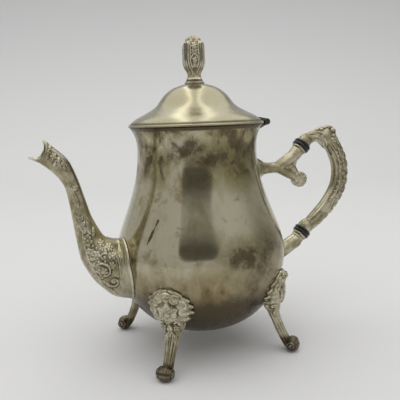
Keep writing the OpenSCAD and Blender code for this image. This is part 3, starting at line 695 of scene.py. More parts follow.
def body_marks(place, bloom, mottle):
    """Where the plate is darker: tarnish under the rim, painted shade on the top edge under the
    lid, tarnish and a painted reflection of the shadowed floor low on the belly, and the stains.
    """
    height = place.parts()[2]
    smear = clouds(place.stretched((1, 1, 0.6)), 13, 5.0, 0.62, 0.5, (2, 9, 4))
    blots = clouds(place, 6, 4.0, 0.6, 0.8, (8, 3, 6))
    streaks = clouds(place.stretched((1, 1, 0.28)), 15, 4.0, 0.6, 0.7, (4, 4, 8))
    ragged = smear.between(0.36, 0.60)
    rim = height.between(0.128, 0.150) * (bloom * 0.4 + smear * 0.6).between(0.36, 0.58) * 0.88
    # painted shade: the top edge of the body, under the lid's rolled edge, is darkened
    edge = height.between(0.1765, 0.1785) * 0.95
    # tarnish and painted shade: the base and the low belly darken, partly real tarnish, partly a
    # painted reflection of the shadowed floor under the pot
    base_tarnish_and_shade = (1 - height.between(0.036, 0.082)) * (1.22 + (smear - 0.5) * 0.5)
    belly = (1 - height.between(0.050, 0.104)) * (0.50 + ragged * 0.50) * 0.84
    spots = [rim, edge, base_tarnish_and_shade, belly]
    for x, y, z, reach, squash, depth in BODY_STAINS:
        blotch = 0.60 + blots.between(0.24, 0.70) * 0.40
        spots.append(patch(place, x, y, z, reach, squash) * blotch * depth)
    spots.append(streaks.between(0.42, 0.74) * 0.34)
    for start_at, end_at, width, noise, depth in (
            ((-56, -33.2, 97), (-47.6, -35, 113.5), 1.1, mottle, 1.1),
            ((-61, -24, 62), (-50, -42, 50), 1.3, blots, 0.9),
            ((-59, -30, 66), (-52, -38, 58), 1.2, blots, 0.9)):
        spots.append(line_stain(place, start_at, end_at, width, noise) * depth)
    # low belly tinted brown: tarnish with a painted reflection of the shadowed floor
    low = (1 - height.between(0.040, 0.096)) * (0.55 + ragged * 0.45) * 0.86
    olive = patch(place, 10, -46, 158, 34, (1, 1, 1.2)) * 0.9
    rust = patch(place, -18, -64, 58, 24, (1, 1, 1.1)) * (0.4 + ragged * 0.6) * 0.9
    rosy = patch(place, -33, -37, 167, 16, (1.4, 1, 0.8)) * 0.6
    dusky = patch(place, 24, -62, 82, 46, (1, 1, 0.9)) * (0.4 + ragged * 0.6) * 0.6
    return spots, [(low, (0.22, 0.175, 0.105)), (olive, (0.22, 0.185, 0.085)),
                   (rust, (0.27, 0.20, 0.095)), (rosy, (0.44, 0.40, 0.33)),
                   (dusky, (0.21, 0.18, 0.12))]


def lid_marks(place, bloom, mottle):
    """Painted shade in the crease over the rolled edge and under that edge, and grime round the
    finial's ring.
    """
    height = place.parts()[2]
    # painted shade: a dark line in the crease above the rolled edge, and the edge's underside
    # darkened
    crease = height.band(0.1822, 0.1826, 0.1834, 0.1852) * 0.85
    under = 1 - height.between(0.1808, 0.1816)
    top = height.between(0.2105, 0.2128) * mottle.between(0.4, 0.6) * 0.5
    return [crease, under, top], [(bloom.between(0.35, 0.65) * 0.5 + 0.45, (0.40, 0.37, 0.25))]


def grip_marks(place, grime):
    """Darker, duller film on the outer side of the grip, broken up by a noise."""
    return [place.parts()[0].between(0.108, 0.134) * (0.45 + grime.between(0.35, 0.65) * 0.45)]


def leg_marks(place, grime):
    """Feet gone brown, and the shank darker in a noisy band where it leaves the belly."""
    height = place.parts()[2]
    foot = (1 - height.between(0.010, 0.0155)) * (0.96 + (grime - 0.5) * 0.5)
    off_belly = height.band(0.030, 0.036, 0.036, 0.046)
    return [foot, off_belly * grime.between(0.4, 0.6) * 0.7]


# ---- spout

# lower edge out and up, upper edge out and up, half width as a share of the foot's
SPOUT_ROWS = [
    [1.00, 0.88, 0.815, 1.00, 0.34], [0.86, 0.825, 0.685, 0.94, 0.34],
    [0.73, 0.755, 0.54, 0.85, 0.32], [0.63, 0.67, 0.445, 0.715, 0.30],
    [0.585, 0.555, 0.38, 0.58, 0.31], [0.555, 0.41, 0.31, 0.435, 0.37],
    [0.52, 0.24, 0.215, 0.315, 0.49], [0.49, 0.12, 0.165, 0.275, 0.63],
    [0.43, 0.03, 0.125, 0.262, 0.735], [0.335, -0.065, 0.08, 0.252, 0.83],
    [0.20, -0.155, 0.035, 0.243, 0.90], [0.08, -0.205, 0.005, 0.238, 0.94]]


def spout_rings(t, wall):
    """Rings of the spout from its lip at 0 to its foot at 1, drawn in by the wall."""
    s = spline(SPOUT_ROWS, t)
    span, rise = SPOUT_REACH - BELLY_R, SPOUT_TOP - SPOUT_ROOT
    low, high = (points(-BELLY_R - s[:, k] * span, 0, SPOUT_ROOT + s[:, k + 1] * rise)
                 for k in (0, 2))
    middle = (low + high) / 2
    up = unit(high - middle)
    deep = np.linalg.norm(high - middle, axis=1) - wall
    notch = BEAK * (1 - ramp(t, 0, 0.13)) ** 1.5
    a = circle(SPOUT_SIDES, -1)
    rings = (middle[:, None] + (deep[:, None] * np.cos(a))[..., None] * up[:, None]
             - (notch[:, None] * np.abs(np.sin(a)) ** 1.3)[..., None]
             * np.cross(up, [0, 1, 0])[:, None])
    rings[..., 1] += (s[:, 4] * FOOT_W - wall)[:, None] * np.sin(a)
    return rings, a


def root_ring(drawn_in_h, drawn_in_w, gap):
    """Ring that lies on the belly round the spout's foot, drawn in from its edge."""
    a = circle(SPOUT_SIDES, -1)
    y = (FOOT_W - drawn_in_w) * np.sin(a)
    z = SPOUT_ROOT + (FOOT_H - drawn_in_h) * np.cos(a)
    return points(-np.sqrt((body_r(z) + gap) ** 2 - y * y), y, z)


def spout_carving():
    """Flowers and scrolls on the bulb's sides, a spray under the beak, drawn side on."""
    c = Carving((-134, 40), (-62, 180), step=0.12)
    for x, z, r, petals, turn in (
            (-94.4, 99.8, 4.2, 5, 20), (-79.0, 93.6, 3.2, 6, 5), (-76.6, 87.6, 2.9, 5, 30),
            (-89.8, 89.0, 3.4, 6, 10), (-79.4, 80.4, 3.2, 6, 0), (-86.0, 76.0, 4.2, 7, 12),
            (-84.6, 97.2, 3.0, 5, 50), (-92.4, 81.6, 2.4, 5, 15), (-78.4, 68.0, 2.3, 5, 0)):
        c.flower(x, z, r, petals, 1.35, turn)
    for row in ((-86.0, 76.0, 7.0, 120, 0.95, 1.0, 1.2, -1),
                (-78.6, 67.6, 4.6, 200, 1.1, 1.0, 1.2, 1),
                (-84.4, 87.4, 2.8, 60, 1.0, 0.7, 1.0, 1),
                (-94.2, 92.4, 2.6, 10, 1.1, 0.7, 1.0, -1),
                (-72.4, 62.4, 2.4, 150, 1.0, 0.7, 1.0, 1)):
        c.scroll(*row)
    for x, z in ((-82.2, 89.8), (-84.0, 84.0), (-88.6, 83.8), (-80.2, 86.6), (-88.8, 94.2),
                 (-91.2, 96.0), (-81.0, 74.6), (-90.6, 86.2), (-84.6, 92.6), (-75.6, 72.0),
                 (-90.4, 72.6)):
        c.ball(x, z, 1.0, 1.2)
    for k in range(3):  # veins by the belly
        vein = [(-74.4 + 1.4 * k, 88 - 1.3 * k), (-74.0 + 1.4 * k, 79), (-73.0 + 1.2 * k, 69 + k)]
        c.stroke(vein, [0.5, 0.8, 0.4], [0.5, 0.9, 0.4])
    edge = spline([(-99.0, 117), (-97.6, 108), (-97.0, 97), (-94.6, 84), (-90, 73), (-84, 64),
                   (-77, 57.5)], np.linspace(0, 1, 60))
    c.stroke(edge, 0.8, 0.7)
    for k in range(13):  # leafage that curls in from the edge
        c.leaf(*edge[4 + 4 * k], 66 - 10 * k, 5.4, 1.5, 1.0, 3)
    for row in ((-95.4, 105.0, 113, 17, 2.8, 1.1, 5), (-92.0, 104.0, 98, 12, 2.2, 1.0, 4),
                (-90.0, 102.0, 80, 8, 1.8, 0.9, 4), (-98.4, 124.0, 106, 16, 2.3, 0.9, 5)):
        c.leaf(*row)  # leaves that run up the neck
    for turn in (70, 95, 120, 145):  # tuft half way up the neck
        c.leaf(-99.6, 137.0, turn, 5.0, 1.3, 0.9, 3)
    for x, z, r, turn in ((-120.4, 169.4, 1.9, 0), (-117.4, 166.4, 2.7, 20),
                          (-113.6, 163.4, 2.7, 40), (-110.2, 160.6, 2.1, 10),
                          (-118.4, 162.6, 1.7, 30)):
        c.flower(x, z, r, 5, 1.3, turn)  # spray along the upper side of the beak
    for x, z, turn in ((-108.6, 159.0, -50), (-112.6, 159.8, -110), (-115.4, 169.0, 60),
                       (-107.4, 156.6, -62)):
        c.leaf(x, z, turn, 5.0, 1.3, 0.9, 3)
    stem = [(-122, 170.6), (-116, 169.4), (-109, 163.4), (-104.6, 156)]
    c.stroke(stem, [0.4, 0.7, 0.7, 0.3], 0.7)
    return c.softened()


def make_spout(material):
    t = np.r_[np.linspace(0, 0.30, 70, endpoint=False), np.linspace(0.30, 1, 200)]
    outer, a = spout_rings(t, 0)
    t = t[:, None]
    side = ease(np.abs(np.sin(a)), 0.12, 0.45) * ease(t, 0.015, 0.05) * (1 - ease(t, 0.93, 0.985))
    height = spout_carving().at(outer[..., 0], outer[..., 2]) * side
    # a soft ridge runs down each side of the neck, with a hollow behind it
    turn = np.degrees(np.arccos(np.cos(a)))
    neck = ease(t, 0.12, 0.22) * (1 - ease(t, 0.52, 0.68))
    height = height + neck * (0.55 * bell(turn, 118, 9) - 0.5 * bell(turn, 72, 26))
    lip = 0.35 * bell(t, 0.012, 0.012)  # rolled edge of the beak
    drawn_in = 0.5 * ease(t, 0.03, 0.08) * (1 - ease(t, 0.9, 0.96))
    outer = outer + sheet_normals(outer) * (height + lip - drawn_in)[..., None]
    outer[..., 0] = np.maximum(outer[..., 0], -SPOUT_REACH)
    k = np.linspace(0, 1, 14)[1:, None, None]
    cove = mix(outer[-1], root_ring(1.0, 0.8, 1.7), k) * (1 - 0.008 * np.sin(math.pi * k))
    foot = np.stack([*cove, *(root_ring(*row) for row in (
        (0.3, 0.2, 1.5), (0, 0, 1.1), (0, 0, SEAT_GAP), (4, 4, SEAT_GAP), (7, 6, SEAT_GAP)))])
    back = np.linspace(0.97, 0, 60)
    inner, _ = spout_rings(back, mix(LIP_WALL, SPOUT_WALL, ramp(back, 0, 0.15)))
    shape = skin(np.concatenate([outer, foot, inner]), looped=True)
    fit_casting("spout_casting", shape, material, "spout")


# ---- handle

# out and up from the heat breaks, and radius as a share of the grip's
GRIP_ROWS = [
    [0.19, 1.075, 0.68], [0.335, 1.10, 0.74], [0.487, 1.095, 0.81], [0.636, 1.055, 0.88],
    [0.78, 0.98, 0.97], [0.908, 0.88, 1.0], [0.976, 0.785, 1.0], [1.0, 0.70, 1.0],
    [0.993, 0.605, 1.0], [0.954, 0.508, 1.0], [0.86, 0.41, 0.985], [0.69, 0.295, 0.95],
    [0.523, 0.211, 0.925], [0.359, 0.141, 0.885], [0.222, 0.085, 0.82]]


def on_axis(z, along, r):
    """Point of the XZ plane on a heat break's axis, so far beyond its outer face, and r."""
    return [*(np.array([BREAK_X, z]) + BREAK_DIR * (BREAK_T / 2 + along)), r]


def handle_carving():
    """Drawn in millimetres along the handle and round it from the outer side."""
    c = Carving((0, -30), (132, 30))
    for s, r, high in ((18.5, 4.4, 2.2), (26.0, 5.2, 2.8), (33.5, 4.6, 2.2)):
        c.flower(s, 0, r, 6, high, 8 * s)  # flowers of the crest
    for hand in (-1, 1):
        c.flower(30.0, hand * 8.2, 3.8, 6, 1.9, 20)
        c.flower(37.0, hand * 5.6, 3.4, 5, 1.6, 50)
        for k in range(7):  # acanthus that wraps the shoulder
            c.leaf(3 + 3.1 * k, hand * (1 + 2.3 * k), hand * 34, 13, 2.3, 1.2, 4)
        for k in range(13):  # florets and leaves down each side
            along, lean = 40.5 + 3.7 * k, 1.3 * math.sin(2.3 * k)
            floret_r = 2.1 + 0.5 * math.sin(1.7 * k)
            c.flower(along, hand * (11.4 + 0.9 * lean), floret_r, 5, 1.3, 31 * k)
            c.leaf(along + 1.8, hand * (14.4 - lean * 0.5), hand * (160 - 25 * (k % 3)),
                   4.0, 1.2, 1.1, 3)
            c.ball(along + 1.9, hand * (8.6 + lean * 0.6), 0.9, 1.2)
        for k in range(11):  # scrolls along the outer edge
            wound = hand if k % 2 else -hand
            c.scroll(42 + 7.0 * k, hand * 4.4, 2.3, 180, 1.0, 0.7, 0.95, wound)
            c.leaf(45.5 + 7.0 * k, hand * 2.2, hand * 20, 5, 1.3, 0.8, 3)
        for k in range(4):
            c.leaf(86 + 4.6 * k, hand * (15.5 - 1.5 * k), -hand * 12, 13, 2.6, 1.0, 4)
        for line, width, height in (  # ridges beside the florets and lower down
                ([(34, 15.6), (60, 16.6), (90, 15.4), (108, 12)], 0.8, 1.0),
                ([(42, 20.4), (80, 20.6), (120, 16.5)], 1.1, 0.6),
                ([(92, 9), (124, 8)], [0.9, 0.5], [1.0, 0.5]),
                ([(96, 14.5), (124, 12.5)], [0.7, 0.5], [0.8, 0.5])):
            c.stroke([(x, hand * y) for x, y in line], width, height)
        c.scroll(113, hand * 5, 3.4, 180, 1.2, 0.8, 1.0, -hand)
    return c.softened()


def make_handle(material):
    reach, n = HANDLE_REACH - GRIP_R - BREAK_X, 460
    line = [on_axis(UPPER_Z, 0, 6.4), on_axis(UPPER_Z, 3, 6.2)]
    line += [[BREAK_X + o * reach, mix(LOWER_Z, UPPER_Z, u), s * GRIP_R] for o, u, s in GRIP_ROWS]
    line += [on_axis(LOWER_Z, 3, 6.8), on_axis(LOWER_Z, 0, 6.7)]
    share = np.linspace(0, 1, n)
    c = spline(line, share)
    tangent = unit(np.gradient(c[:, :2], axis=0))
    tangent[0], tangent[-1] = BREAK_DIR, -BREAK_DIR
    along = np.r_[0, np.cumsum(np.linalg.norm(np.diff(c[:, :2], axis=0), axis=1))][:, None]
    out = points(-tangent[:, 1], 0, tangent[:, 0])
    a = circle(110, -1)
    crest = CREST_H * bell(share, CREST_AT, 0.045)
    lobe = 1 - 0.22 * np.abs(np.sin(math.pi * ramp(share, CREST_AT - 0.07, CREST_AT + 0.07) * 3))
    deep = c[:, 2:] * np.cos(a) + (crest * lobe)[:, None] * np.maximum(np.cos(a), 0) ** 1.5
    rings = points(c[:, :1] + 0 * a, 0, c[:, 1:2]) + deep[..., None] * out[:, None]
    rings[..., 1] += (c[:, 2] * GRIP_FLAT + crest / 3)[:, None] * np.sin(a)
    turn = (a + math.pi) % (2 * math.pi) - math.pi
    ends = ease(along, 5, 9) * (1 - ease(along, along[-1] - 9, along[-1] - 5))
    flutes = 0.45 * np.cos(7 * turn + along / 2.6) * (1 - ease(along, 12, 20))
    height = handle_carving().at(along, turn * c[:, 2:]) * ends
    height = height + flutes * ends - 0.9 * ends
    lower = ease(along, 36, 42)  # past the crest nothing stands proud
    height = height * (1 - 0.3 * lower)
    height = mix(height, np.minimum(height, 0), lower)
    rings = rings + sheet_normals(rings) * height[..., None]
    fit_casting("handle_casting", skin(rings), material, "handle")


# ---- legs

# up, stand-out over the belly, way out, depth, share of the shell's half width
LEG_ROWS = [
    [1.00, 1.4, 0.30, 9, 0.26], [0.955, 3.6, 0.30, 9, 0.56], [0.89, 4.8, 0.30, 9, 0.86],
    [0.80, 6.4, 0.30, 9, 1.00], [0.71, 9.0, 0.30, 9, 0.97], [0.64, 11.2, 0.30, 9, 0.80],
    [0.585, 12, 0.31, 10, 0.59], [0.53, 13, 0.325, 10.4, 0.49], [0.475, 13, 0.335, 8.4, 0.38],
    [0.38, 13, 0.434, 7.7, 0.30], [0.275, 13, 0.557, 7.8, 0.25], [0.182, 13, 0.687, 8.0, 0.22],
    [0.11, 13, 0.80, 8.2, 0.21], [0.055, 13, 0.88, 7, 0.21]]


def leg_carving():
    """Shell plaque and shank of a leg, drawn in millimetres across and up."""
    c = Carving((-24, 0), (24, 70))
    for k in range(9):  # lobes and scrolls round the plaque's edge
        a = math.radians(-34 + 31 * k)
        x, z = 12.6 * math.cos(a), 49.6 + 10.6 * math.sin(a)
        c.ball(x, z, 4.0, 1.2)
        c.scroll(x, z, 3.5, math.degrees(a) + 70, 1.25, 1.0, 1.3, 1 if k % 2 else -1)
    boss = 0.4, 47.4
    for k in range(6):  # open petals round a boss
        c.leaf(*boss, -30 + 60 * k, 9.5, 4.6, 1.5, 2)
        c.leaf(*boss, 60 * k, 8.2, 2.4, 0.9, 2)
    c.ball(*boss, 2.9, 2.2)
    for a in circle(7):
        c.ball(boss[0] + 3.2 * math.cos(a), boss[1] + 3.2 * math.sin(a), 0.85, 1.5)
    c.scroll(0, 62.2, 3.4, 90, 1.2, 1.1, 1.6, 1)
    for hand in (-1, 1):
        c.scroll(hand * 7.2, 38.6, 3.5, 90 - hand * 60, 1.2, 1.0, 1.6, hand)
        c.scroll(hand * 12.0, 42.6, 2.9, 90 - hand * 80, 1.2, 0.9, 1.4, -hand)
        c.leaf(hand * 4.2, 37.6, -90 + hand * 14, 9, 2.3, 1.5, 3)
        c.leaf(hand * 2.4, 32.0, -90 + hand * 8, 7, 1.7, 1.3, 3)
        for line, thick in (([(2.4, 31), (1.7, 22), (1.5, 12), (1.8, 6)], 0.9),
                            ([(4.8, 30), (3.8, 20), (3.2, 12), (3.4, 6)], 0.8)):
            line = spline([(hand * x, z) for x, z in line], np.linspace(0, 1, 24))
            c.stroke(line, thick, thick)  # flutes of the shank
    c.leaf(0, 38.4, -90, 10.5, 2.6, 1.6, 3)
    c.stroke([(0, 27), (0, 8)], [0.4, 0.6], [0.5, 0.7])
    return c.softened()


def leg_rings():
    t = np.r_[np.linspace(0, SHELL_SHARE, 150), np.linspace(SHELL_SHARE, 1, 110)[1:]]
    up, stand_out, way_out, depth, width = spline(LEG_ROWS, t).T[..., None]
    z, a, on_belly = up * SHELL_TOP, circle(128, -1), ramp(up, 0.52, 0.60)
    wave = np.abs(np.cos(math.pi * 5 * ramp(up, 0.6, 1))) ** 3
    half = width * SHELL_W * (1 - (0.09 + 0.12 * wave) * on_belly)
    y, e = half * np.sin(a), np.cos(a)
    round_x = mix(body_r(0.55 * SHELL_TOP), STAND_R, way_out) + depth / 2 * e
    surface = body_r(np.maximum(z, BASE_Z)) + SEAT_GAP
    skin_x = np.sqrt(surface**2 - y * y)
    dish = np.maximum(stand_out - 1.2, 0.2) * np.maximum(e, 0) ** 0.8
    shell_x = np.where(e < -0.001, skin_x, skin_x + 1.2 + dish)
    rings = points(mix(round_x, shell_x, on_belly), y, z)
    front = ease(e, 0.02, 0.3) * ease(up, 0.09, 0.13)
    height = (leg_carving().at(y, z) - 0.9) * front
    return rings + sheet_normals(rings) * height[..., None]


def turned_scroll(r, half, place):
    """Scroll lying across a leg: a barrel with a coil on both ends and a crease in its curl."""
    u = np.linspace(-84, 84, 72)[:, None]
    share = np.cos(np.radians(u)) ** 0.72
    a = circle(84)
    coil = np.cos(a * np.sign(u) + 2.6 * 2 * math.pi * share)
    end = ease(np.abs(u), 30, 48) * ease(share, 0.10, 0.25)
    y = half * np.sin(np.radians(u)) / math.sin(math.radians(84))
    y = y - np.sign(u) * 0.40 * (1 - coil) * end
    crease = 0.12 * bell((np.degrees(a) - 18 + 180) % 360 - 180, 0, 11)
    radius = r * share * (1 - crease - 0.05 * bell(np.abs(u), 26, 5))
    return points(radius * np.cos(a) + place[0], y, radius * np.sin(a) + place[1])


def make_legs(material):
    knob_x, knob_z = body_r(SHELL_TOP - 4) + SEAT_GAP + 3.3, SHELL_TOP - 4
    verts, faces = facing_out([
        leg_rings(), turned_scroll(TOE_R - 0.1, TOE_W, (STAND_R, TOE_R - 0.25)),
        turned_scroll(KNOB_R, KNOB_W, (knob_x, knob_z))])
    verts[:, 2] = np.maximum(verts[:, 2], 0.02)
    for name, azimuth in (("spout_front", -135), ("spout_back", 135),
                          ("handle_front", -45), ("handle_back", 45)):
        c, s = math.cos(math.radians(azimuth)), math.sin(math.radians(azimuth))
        turn = np.array([[c, -s, 0], [s, c, 0], [0, 0, 1]])
        fit_casting("leg_casting_" + name, (verts @ turn.T, faces), material, "leg_" + name)


# ---- finial

# share of the height, radius of the inner bud and of the leaves, spread of a leaf
BUD_ROWS = [
    [0, 0.57, 0.57, 1.2], [0.06, 0.54, 0.55, 1.2], [0.14, 0.58, 0.66, 0.95],
    [0.25, 0.74, 0.88, 0.66], [0.38, 0.84, 0.99, 0.54], [0.52, 0.86, 1.0, 0.52],
    [0.65, 0.82, 0.99, 0.56], [0.76, 0.76, 0.97, 0.56], [0.82, 0.70, 0.93, 0.40],
    [0.87, 0.66, 0.66, 0.2], [0.94, 0.50, 0.50, 0.2], [0.985, 0.28, 0.28, 0.2],
    [1, 0.08, 0.08, 0.2]]


def cartouche_carving():
    """Oval with a flower and a bud over it, shown where two leaves part, in millimetres."""
    c = Carving((-8, 0), (8, 33), step=0.1)
    ring = np.radians(np.linspace(0, 360, 60))
    c.stroke(np.c_[3.1 * np.sin(ring), 12.4 - 5.0 * np.cos(ring)], 0.6, 0.8)
    c.flower(0, 12.4, 2.5, 5, 1.0)
    c.flower(0, 23.4, 3.4, 7, 1.1, 25)
    for hand in (-1, 1):
        c.scroll(hand * 2.6, 18.9, 1.5, 90, 1.1, 0.45, 0.8, hand)
        c.leaf(hand * 1.6, 18.4, 90 + hand * 20, 6, 1.3, 0.8, 3)
    return c.softened()


def make_finial(material):
    share, inner, outer, spread = spline(BUD_ROWS, np.linspace(0, 1, 190)).T[..., None]
    a, half, up = circle(176), 180 / LEAVES, share * BUD_H
    across = np.degrees(a) % (2 * half) - half  # degrees from a leaf's midrib
    between = (np.degrees(a) + half) % (2 * half) - half
    on_leaf = 1 - ease((np.abs(across) / half - spread + 0.08) / 0.17, 0, 1)
    flute = np.cos(4 * math.pi * across / half / np.maximum(spread, 0.3))
    bud = (cartouche_carving().at(between * 0.145, up) - 0.5) * (1 - on_leaf)
    cut = (0.42 * flute - 0.5) * on_leaf + bud
    cut = cut * ease(share, 0.02, 0.12) * (1 - ease(share, 0.86, 0.93))
    rosette = 0.5 * bell(share, 0.93, 0.05) * np.cos(8 * a)  # at the tip
    r = np.maximum(BUD_R * mix(inner, outer, on_leaf) + cut + rosette, 0.15)
    turned_a = a + math.radians(BUD_TURN)
    leaves = points(r * np.cos(turned_a), r * np.sin(turned_a), CROWN_Z + COLLAR_H + up)
    a = circle(48)
    z = np.linspace(CROWN_Z - LID_WALL - 5, CROWN_Z + COLLAR_H + 2, 40)[:, None]
    r = STUD_R - 0.12 + np.where(z < CROWN_Z - LID_WALL, 0.1 * np.sin(z * 9), 0)  # its thread
    shape = join(skin(leaves), skin(points(r * np.cos(a), r * np.sin(a), z)))
    fit_casting("finial_casting", shape, material, "finial", "lid_assembly")


# ---- sockets of the handle

def about(centre, ahead, along, r, flat=1.0, sides=72):
    """Rings about an axis in the XZ plane: how far along it each lies, and its radius."""
    ahead, a = np.array([ahead[0], 0, ahead[1]]), circle(sides)
    side = np.array([-ahead[2], 0, ahead[0]])
    rings = np.array([centre[0], 0, centre[1]]) + along[:, None, None] * ahead
    rings = rings + (r[:, None] * np.cos(a))[..., None] * side
    rings[..., 1] += flat * r[:, None] * np.sin(a)
    return rings


def bar(p, q, r1, r2, flat=1.0):
    """Round-ended bar between two points of the XZ plane."""
    p, q = np.array(p), np.array(q)
    k = np.linspace(-math.pi / 2, math.pi / 2, 16)
    r, start = np.where(k < 0, r1, r2), np.where(k < 0, 0, np.linalg.norm(q - p))
    return about(p, unit(q - p), start + np.sin(k) * r, np.cos(k) * r + 0.02, flat, 40)


def turned(outline, centre, ahead):
    """Rings of a piece turned from an outline of [radius, along]."""
    r, along = np.array(outline, float).T
    return about(centre, ahead, along, r)


def trumpet(r, spread, length):
    a = np.linspace(0, math.pi / 2, 14)
    flared = np.c_[r + spread * (1 - np.sin(a)), length * (1 - np.cos(a))]
    return np.r_[flared, [[r * 0.6, length + 1]]]


def socket_mouth(z, length):
    """Mouth of a socket against its heat break, with a bead and a drawn-in throat."""
    r = SOCKET_R
    outline = [[r - 0.15, -0.02], [r, -0.3], [r, -1.5], [r - 0.5, -2.2], [r - 1.2, -2.6],
               [r - 0.8, -3.4], [r - 1.0, -length], [1, -length - 1]]
    return turned(outline, np.array([BREAK_X, z]) - BREAK_DIR * BREAK_T / 2, BREAK_DIR)


def ribbed_scroll(centre, r, half):
    """Shell scroll: ribs open from its eye on both faces and notch its rim."""
    a, level = circle(132), np.ones(26)
    notch = 1 - np.abs(np.cos(11 * a / 2))
    share = np.r_[np.linspace(0, 1, 26), np.ones(9), np.linspace(1, 0, 26)][:, None]
    face = np.r_[-level, np.linspace(-0.92, 0.92, 9), level][:, None]
    dome = half * (0.62 + 0.38 * np.sqrt(np.clip(1 - share**2, 0, 1)))
    dome = dome - 0.9 * notch * bell(share, 0.65, 0.3)
    y = face * np.where(np.abs(face) > 0.99, dome, half * 0.62)
    edge = share * r * (1 - 0.05 * notch * ease(share, 0.7, 1))
    return points(centre[0] + edge * np.cos(a), y, centre[1] + edge * np.sin(a))


def fuse(name, shells, material, node):
    """Grows shells into one casting, smooths it a little and keeps it clear of the belly."""
    obj = make_object(name, *facing_out(shells))
    remesh = obj.modifiers.new("Fuse", "REMESH")
    remesh.mode, remesh.voxel_size = "VOXEL", FUSE_VOXEL * 1e-3
    soft = obj.modifiers.new("Fillet", "SMOOTH")
    soft.factor, soft.iterations = 0.5, 5
    mesh = settle(obj).data
    p = read(mesh.vertices, "co") * 1000 - [AXIS_X, 0, 0]
    clear = body_r(np.clip(p[:, 2], BASE_Z, MOUTH_Z)) + FUSED_GAP
    p[:, :2] *= np.maximum(clear / np.maximum(np.hypot(p[:, 0], p[:, 1]), 1e-6), 1)[:, None]
    mesh.vertices.foreach_set("co", ((p + [AXIS_X, 0, 0]) * 1e-3).ravel())
    mesh.update()
    fit(mark_hollows(smooth(obj), 6, 0.25), material, "pot", node)


def make_sockets(material):
    stem_z = UPPER_Z - 17.4
    fork, scroll = (BREAK_X - 25, stem_z), (BREAK_X - 2.8, stem_z - 12)
    throat = np.array([BREAK_X, UPPER_Z]) - BREAK_DIR * (BREAK_T / 2 + 9)
    root_x = float(body_r(stem_z)) - 2
    crotch = (fork[0] + 14.5, stem_z + 1.2)
    collar = [[0.5, -1.5], [9.6, -1.5], [9.8, 1], [9.0, 3], [7.6, 5], [6.2, 8], [5.2, 12],
              [4.6, 15], [2, 16]]
    shells = [socket_mouth(UPPER_Z, 10), bar(fork, throat, 5.0 * 0.94, SOCKET_R * 0.80),
              bar((root_x, stem_z), fork, 4.5, 4.8),
              turned(collar, (root_x + 2.3, stem_z), (1, 0)),
              bar(fork, (scroll[0] - 4, scroll[1] + 2), 4.6, 3.6, 0.9),
              bar(fork, crotch, 4.6, 3.8, 0.75),
              bar(crotch, (scroll[0] - 3, scroll[1] + 5), 3.4, 2.8, 0.8),
              bar(crotch, (throat[0] - 0.5, throat[1] - 5), 3.4, 3.6, 0.85),
              ribbed_scroll(scroll, 6.9, 4.4)]
    for k in range(-2, 3):  # leaves that clasp the stem at the belly
        tip = root_x + 17 - 1.2 * abs(k), stem_z + 1.9 * k
        shells.append(bar((root_x + 4, stem_z + 4.5 * k), tip, 2.3, 1.0))
    fuse("upper_socket_casting", shells, material, "upper_socket")

    throat = np.array([BREAK_X, LOWER_Z]) - BREAK_DIR * (BREAK_T / 2 + 8)
    root_z = LOWER_Z - 23
    root = np.array([float(body_r(root_z)) - 4, root_z])
    ahead = (throat - root) / np.linalg.norm(throat - root)
    shells = [socket_mouth(LOWER_Z, 9), bar(root, throat, 7.0, SOCKET_R * 0.95),
              turned(trumpet(6.0, 4.6, 15), root, ahead)]
    for turn in (-1, 1):  # raised lines that panel the arm
        side = np.array([-ahead[1], ahead[0]]) * turn * 4.4
        shells.append(bar(root + side + ahead * 10, throat + side * 0.9 - ahead * 1.5, 2.4, 2.2))
    fuse("lower_socket_casting", shells, material, "lower_socket")


# ---- body, lid and the turned pieces

def make_body(material):
    obj = make_object("spun_body", [(0, 0, 0)], [])
    apply_rule(obj, pot_body_tree(material))
    shell = obj.modifiers.new("Plate", "SOLIDIFY")
    shell.thickness, shell.offset, shell.use_even_offset = WALL * 1e-3, -1, True
    punches = make_object("strainer_punches", [(0, 0, 0)], [])
    apply_rule(punches, punches_tree(material),
               Centre=((AXIS_X - float(body_r(SPOUT_ROOT))) * 1e-3, 0, SPOUT_ROOT * 1e-3))
    settle(punches)
    drill = obj.modifiers.new("Strainer", "BOOLEAN")
    drill.operation, drill.object, drill.solver = "DIFFERENCE", punches, "MANIFOLD"
    settle(obj)
    bpy.data.objects.remove(punches)
    fit(smooth(obj, 40), material, "pot", "body")


def turned_piece(name, outline, tree, material, segments, tilt=0.0, x=0, z=0):
    """Piece turned from a closed outline of [radius, height] in millimetres."""
    obj = make_object(name, [(r, 0, up) for r, up in outline], [], placed=False)
    place = 0.001 * (x + AXIS_X), 0, 0.001 * z
    apply_rule(obj, tree, Segments=segments, Tilt=tilt, Centre=place, Material=material)
    return smooth(outward(settle(obj)), 40)


def lid_outline():
    """Rolled edge, two fine steps above it, the ogee dome, and the same shape inside."""
    bead = [[LID_R - BEAD_R + BEAD_R * math.cos(a), LID_Z + BEAD_R + BEAD_R * math.sin(a)]
            for a in np.radians(np.linspace(-90, 85, 16))]
    rows = [[0.979, 0], [0.892, 0.135], [0.731, 0.283], [0.584, 0.448], [0.470, 0.70],
            [0.356, 0.868], [0.22, 0.968], [CROWN_R / LID_R, 1]]
    dome = spline(rows, np.linspace(0, 1, 64)) * [LID_R, DOME_H] + [0, LID_Z + 2 * BEAD_R]
    slope = unit(np.gradient(dome, axis=0))
    inward = np.c_[-slope[:, 1], slope[:, 0]]
    inside = [p for p in (dome + inward * LID_WALL).tolist() if 2.3 < p[0] < LID_R - 3]
    step = 0.16 * (bell(np.arange(64), 3.0, 0.9) - bell(np.arange(64), 5.0, 0.9))
    dome = dome + inward * np.abs(step[:, None]) * 0.6
    bore, skirt = STUD_R + 0.2, LID_R - 2.6
    return (bead + dome.tolist() + [[bore, CROWN_Z], [bore, CROWN_Z - LID_WALL]]
            + inside[::-1] + [[skirt, LID_Z + 1.2], [skirt, LID_Z]])


